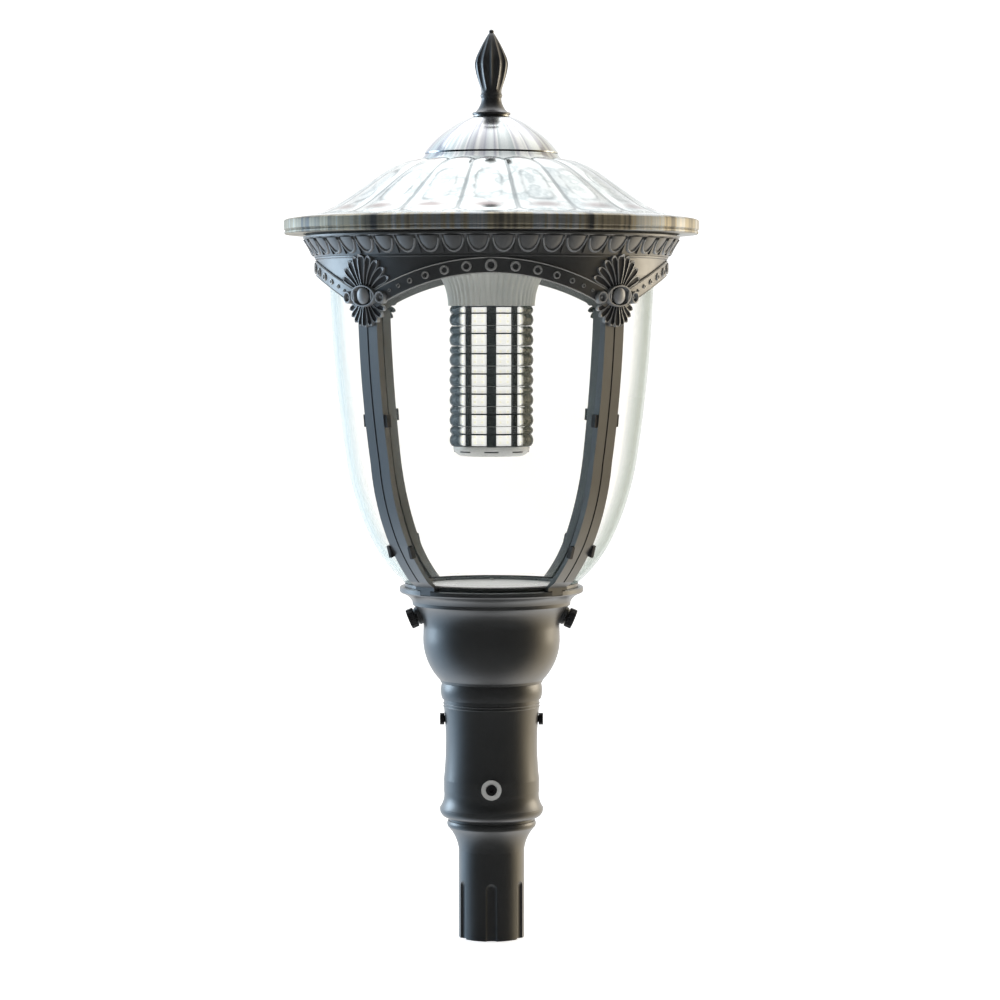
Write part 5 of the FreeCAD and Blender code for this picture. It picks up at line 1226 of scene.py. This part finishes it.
@dataclass
class Lamp:
    """Fluted heat sink, LED boards and scalloped lens rings."""

    sink_low: float
    tiers: int = 7
    pitch: float = 23.0
    flutes: int = 48
    flute_depth: float = 1.6
    plain_radius: float = 45.5
    boards: int = 8
    board_radius: float = 36.6
    board_width: float = 18.0
    chip_rows: tuple[int, ...] = (-6, 0, 6)
    chip_columns: tuple[float, ...] = (-4.5, 4.5)
    gaps: tuple[float, float] = (10.6, 4.0)
    gap_bars: tuple[tuple[float, float, float], ...] = ((1.2, 2.6, 0.9), (1.0, 5.0, 0.8), (1.6, 7.4, 0.9))
    lens_height: float = 22.4
    lens_wall: tuple[float, float, float] = (42.6, 45.6, 45.8)
    small_scallop: float = 9.0
    scallop_depths: tuple[float, float] = (2.7, 2.3)
    cap_radius: float = 42.6
    sink_outline: Profile = ((0.0, 0.0), (46.0, 0.0), (49.8, 0.4), (50.2, 6.0), (51.4, 14.0), (54.0, 23.0),
                             (59.0, 33.0), (65.0, 42.0), (71.0, 50.5), (73.8, 57.8), (0.0, 57.8))

    @property
    def tower_low(self) -> float:
        """Height of the tower's foot."""
        return self.sink_low - self.tiers * self.pitch

    def build(self) -> None:
        """Builds every piece of the lamp."""
        self.heat_sink()
        self.led_tower()
        self.seams()
        self.lenses()
        self.end_slots()

    def heat_sink(self) -> None:
        """Flared sink with upright flutes."""
        flare = smooth_curve(self.sink_outline[2:-1], 3)
        bm = spun([*self.sink_outline[:2], *flare, self.sink_outline[-1]], self.flutes * 6)
        for vert in bm.verts:
            radius = math.hypot(vert.co.x, vert.co.y)
            if radius > self.plain_radius * MM:
                turn = math.atan2(vert.co.y, vert.co.x)
                dip = (0.5 + 0.5 * math.cos(turn * self.flutes)) ** 2 * self.flute_depth * MM
                vert.co.x *= 1 - dip / radius
                vert.co.y *= 1 - dip / radius
        add_piece(moved(bm, z=self.sink_low), "fluted_sink", (SINK_METAL,), ("heat_sink",))

    def led_tower(self) -> None:
        """White boards with rows of diodes, both with a painted glow though the lamp is unlit."""
        tower = bmesh.new()
        tall = self.tiers * self.pitch
        for k in range(self.boards):
            board = block(self.board_width, 1.6, tall - 3, 0.3)
            for tier, row, column in product(range(self.tiers), self.chip_rows, self.chip_columns):
                chip = moved(block(3.0, 0.9, 3.0), column, 1.0, (tier + 0.5) * self.pitch - tall / 2 + row)
                for face in chip.faces:
                    face.material_index = 1
                absorb(board, chip)
            moved(board, y=self.board_radius, z=self.tower_low + tall / 2)
            absorb(tower, turned(board, 360 / self.boards * (k + 0.5)))
        add_piece(tower, "diode_boards", (GLOWING_BOARD, GLOWING_CHIP), ("led_boards",))

    def seams(self) -> None:
        """Dark rings and bars in the gaps between the boards, and a grey ring under each lens."""
        seams = bmesh.new()
        long_bar = (self.pitch - self.small_scallop) * 1.02
        for tier in range(self.tiers):
            line = self.sink_low - tier * self.pitch - self.small_scallop
            absorb(seams, square_ring(38.4, 43.4, line - 0.2, line + 1.5))
            for k in range(self.boards):
                for tall, middle, share in ((long_bar, -long_bar / 2, 1.0), *self.gap_bars):
                    up = max(line + middle, self.tower_low + tall / 2)
                    bar = moved(block(self.gaps[k % 2] * share, 3.0, tall), y=37.8, z=up)
                    absorb(seams, turned(bar, 360 / self.boards * k))
            ripple = self.sink_low - (tier + 1) * self.pitch
            grey = square_ring(41.6, 42.8, ripple + 0.4, ripple + 1.1)
            for face in grey.faces:
                face.material_index = 1
            absorb(seams, grey)
        bmesh.ops.recalc_face_normals(seams, faces=seams.faces[:])
        add_piece(seams, "tier_seams", (SEAM, SINK_METAL))

    def lenses(self) -> None:
        """Seven clear rings, each with a large and a small scallop."""
        split = self.lens_height - self.small_scallop
        inside, foot, waist = self.lens_wall
        deep, shallow = self.scallop_depths
        outside = [(foot + deep * math.sin(math.pi * k / 8) ** 0.8, split * k / 8) for k in range(8)]
        outside += [(waist + shallow * math.sin(math.pi * k / 6), split + self.small_scallop * k / 6)
                    for k in range(6)]
        outside += [(waist, self.lens_height), (inside, self.lens_height), (inside, 0.0)]
        for tier in range(self.tiers):
            low = self.sink_low - tier * self.pitch - self.lens_height
            name = f"lens_ring_{tier + 1}"
            add_piece(moved(spun(outside, 80, ring=True), z=low), "scalloped_" + name, (LENS_CLEAR,), (name,))

    def end_slots(self) -> None:
        """Dark slots round the lamp's end cap."""
        slots = bmesh.new()
        for k in range(self.boards):
            slot = block(16.0, 2.0, 3.6)
            long_edges = [edge for edge in slot.edges if edge.calc_length() > 10 * MM]
            bmesh.ops.subdivide_edges(slot, edges=long_edges, cuts=4)
            moved(slot, y=-0.4, z=self.tower_low - 4.6)
            absorb(slots, laid_on(slot, FRONT + 360 / self.boards * k, lambda up: self.cap_radius * MM))
        add_piece(slots, "end_cap_slots", (SEAM,))


# ---- neck details


@dataclass
class Neck:
    """Fine turned lines on the collar, each a height and the lower half of its section."""

    collar_low: float
    beads: tuple[tuple[float, Profile], ...] = (
        (132.2, ((54.6, 0.9), (55.6, 0.7), (56.0, 0.0))), (135.6, ((54.6, 0.9), (55.6, 0.7), (56.0, 0.0))),
        (13.2, ((58.1, 0.8), (59.7, 0.5), (59.9, 0.0))), (16.2, ((55.8, 0.8), (57.4, 0.5), (57.6, 0.0))))

    def build(self) -> None:
        """Builds the raised lines."""
        lines = bmesh.new()
        for up, half in self.beads:
            middle = self.collar_low + up
            section = [(radius, middle - away) for radius, away in half]
            section += [(radius, middle + away) for radius, away in half[-2::-1]]
            absorb(lines, spun(section, 96, ring=True))
        add_piece(lines, "collar_lines", (GRAPHITE,))


# ---- studio


@dataclass
class Studio:
    """Surroundings that are white but for the dark in front, pale floor, soft lamps and camera."""

    distance: float = 3.68
    eye: float = 0.701
    aim_x: float = 0.0098
    aim_z: float = 0.506
    lens: float = 115.2
    front: tuple[float, float, float] = (0, -1, 0.12)
    front_level: float = 0.006
    cool: Colour = (0.54, 0.77, 1.0)
    warm: Colour = (1.0, 0.8, 0.5)

    def build(self) -> None:
        """Builds everything round the lantern."""
        self.surroundings()
        self.floor()
        self.lamps()
        self.camera()

    def surroundings(self) -> None:
        """World light: white to the camera, else cool on the left, warm on the right and dark in front."""
        board = NodeBoard(bpy.data.worlds.new("studio"), "ShaderNodeOutputWorld")
        where = board.add("ShaderNodeTexCoord").outputs["Generated"]
        ahead = board.add("ShaderNodeVectorMath", {0: where, 1: self.front}, operation="DOT_PRODUCT")
        level = board.add("ShaderNodeMapRange", {
            "Value": ahead.outputs["Value"], "From Min": -0.65, "From Max": 0.4, "To Min": 1.0,
            "To Max": self.front_level}, interpolation_type="SMOOTHSTEP").outputs[0]
        across = board.add("ShaderNodeSeparateXYZ", {0: where}).outputs["X"]
        tint = board.ramp(board.span(across, -1.0, 1.0, 0.0, 1.0),
                          ((0.0, self.cool), (0.4, WHITE), (0.6, WHITE), (1.0, self.warm)))
        lit = board.add("ShaderNodeVectorMath", {0: tint, "Scale": level}, operation="SCALE").outputs[0]
        seen = board.add("ShaderNodeLightPath").outputs["Is Camera Ray"]
        light = board.add("ShaderNodeBackground", {"Color": board.blend(seen, lit, WHITE), "Strength": 1.25})
        bpy.context.scene.world = board.finish(light)

    def floor(self) -> None:
        """Pale floor under the lantern."""
        bm = bmesh.new()
        bmesh.ops.create_grid(bm, x_segments=2, y_segments=2, size=30.0)
        mesh = bpy.data.meshes.new("floor")
        bm.to_mesh(mesh)
        bm.free()
        board = new_board("pale_floor")
        cloud = board.noise(board.place(), 0.8, 2.0)
        shader = board.add("ShaderNodeBsdfPrincipled", {
            "Base Color": board.ramp(cloud, ((0.3, (0.93,) * 3), (0.7, (0.96,) * 3))),
            "Roughness": 0.8,
            "Emission Color": (1, 1, 1, 1),
            "Emission Strength": 0.75,
        })
        mesh.materials.append(board.finish(shader))
        floor = shown("floor", mesh)
        floor.visible_glossy = False

    def lamps(self) -> None:
        """Large soft lamps above and at both sides."""
        for name, spot, size, watts, colour in (
                ("top_softbox", (0, 0.8, 3.4), 4.5, 45, (1, 1, 1)),
                ("left_softbox", (-2.6, 1.3, 0.9), 1.6, 22, (0.72, 0.87, 1)),
                ("right_softbox", (2.6, 1.3, 0.9), 1.6, 16, (1, 0.88, 0.7))):
            data = bpy.data.lights.new(name, "AREA")
            data.shape = "DISK"
            data.size = size
            data.energy = watts
            data.color = colour
            aim(shown(name, data), spot, (0, 0, 0.6))

    def camera(self) -> None:
        """Camera at the photograph's angle."""
        data = bpy.data.cameras.new("camera")
        data.sensor_width = 36
        data.lens = self.lens
        data.clip_end = 100
        camera = shown("camera", data)
        aim(camera, (self.aim_x, -self.distance, self.eye), (self.aim_x, 0, self.aim_z))
        scene = bpy.context.scene
        scene.camera = camera
        scene.view_settings.view_transform = "Standard"
        scene.view_settings.look = "None"


def dress_carried_nodes(nodes: dict[str, bpy.types.Object]) -> None:
    """Gives every node that the frame shows its finish.

    Args:
        nodes: the frame's objects by name.
    """
    for finish, names in CARRIED.items():
        for name in names:
            item = nodes[name]
            item.data.materials.clear()
            item.data.materials.append(material_of(finish))
            LOG.info("%s: %s", name, finish.name)


def foot_of(node: str) -> float:
    """Height of a node's lower end, in millimetres."""
    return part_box(node)[0][2] / MM


def main() -> None:
    """Builds the scene round the frame."""
    logging.basicConfig(level=logging.INFO, format="%(name)s %(message)s")
    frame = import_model()
    dress_carried_nodes(frame["nodes"])
    Neck(foot_of("neck_collar")).build()
    Crown(foot_of("crown_ring")).build()
    Lamp(foot_of("heat_sink")).build()
    Roof(foot_of("roof_canopy")).build()
    Finial(foot_of("finial")).build()
    Studio().build()


if __name__ == "__main__":
    main()
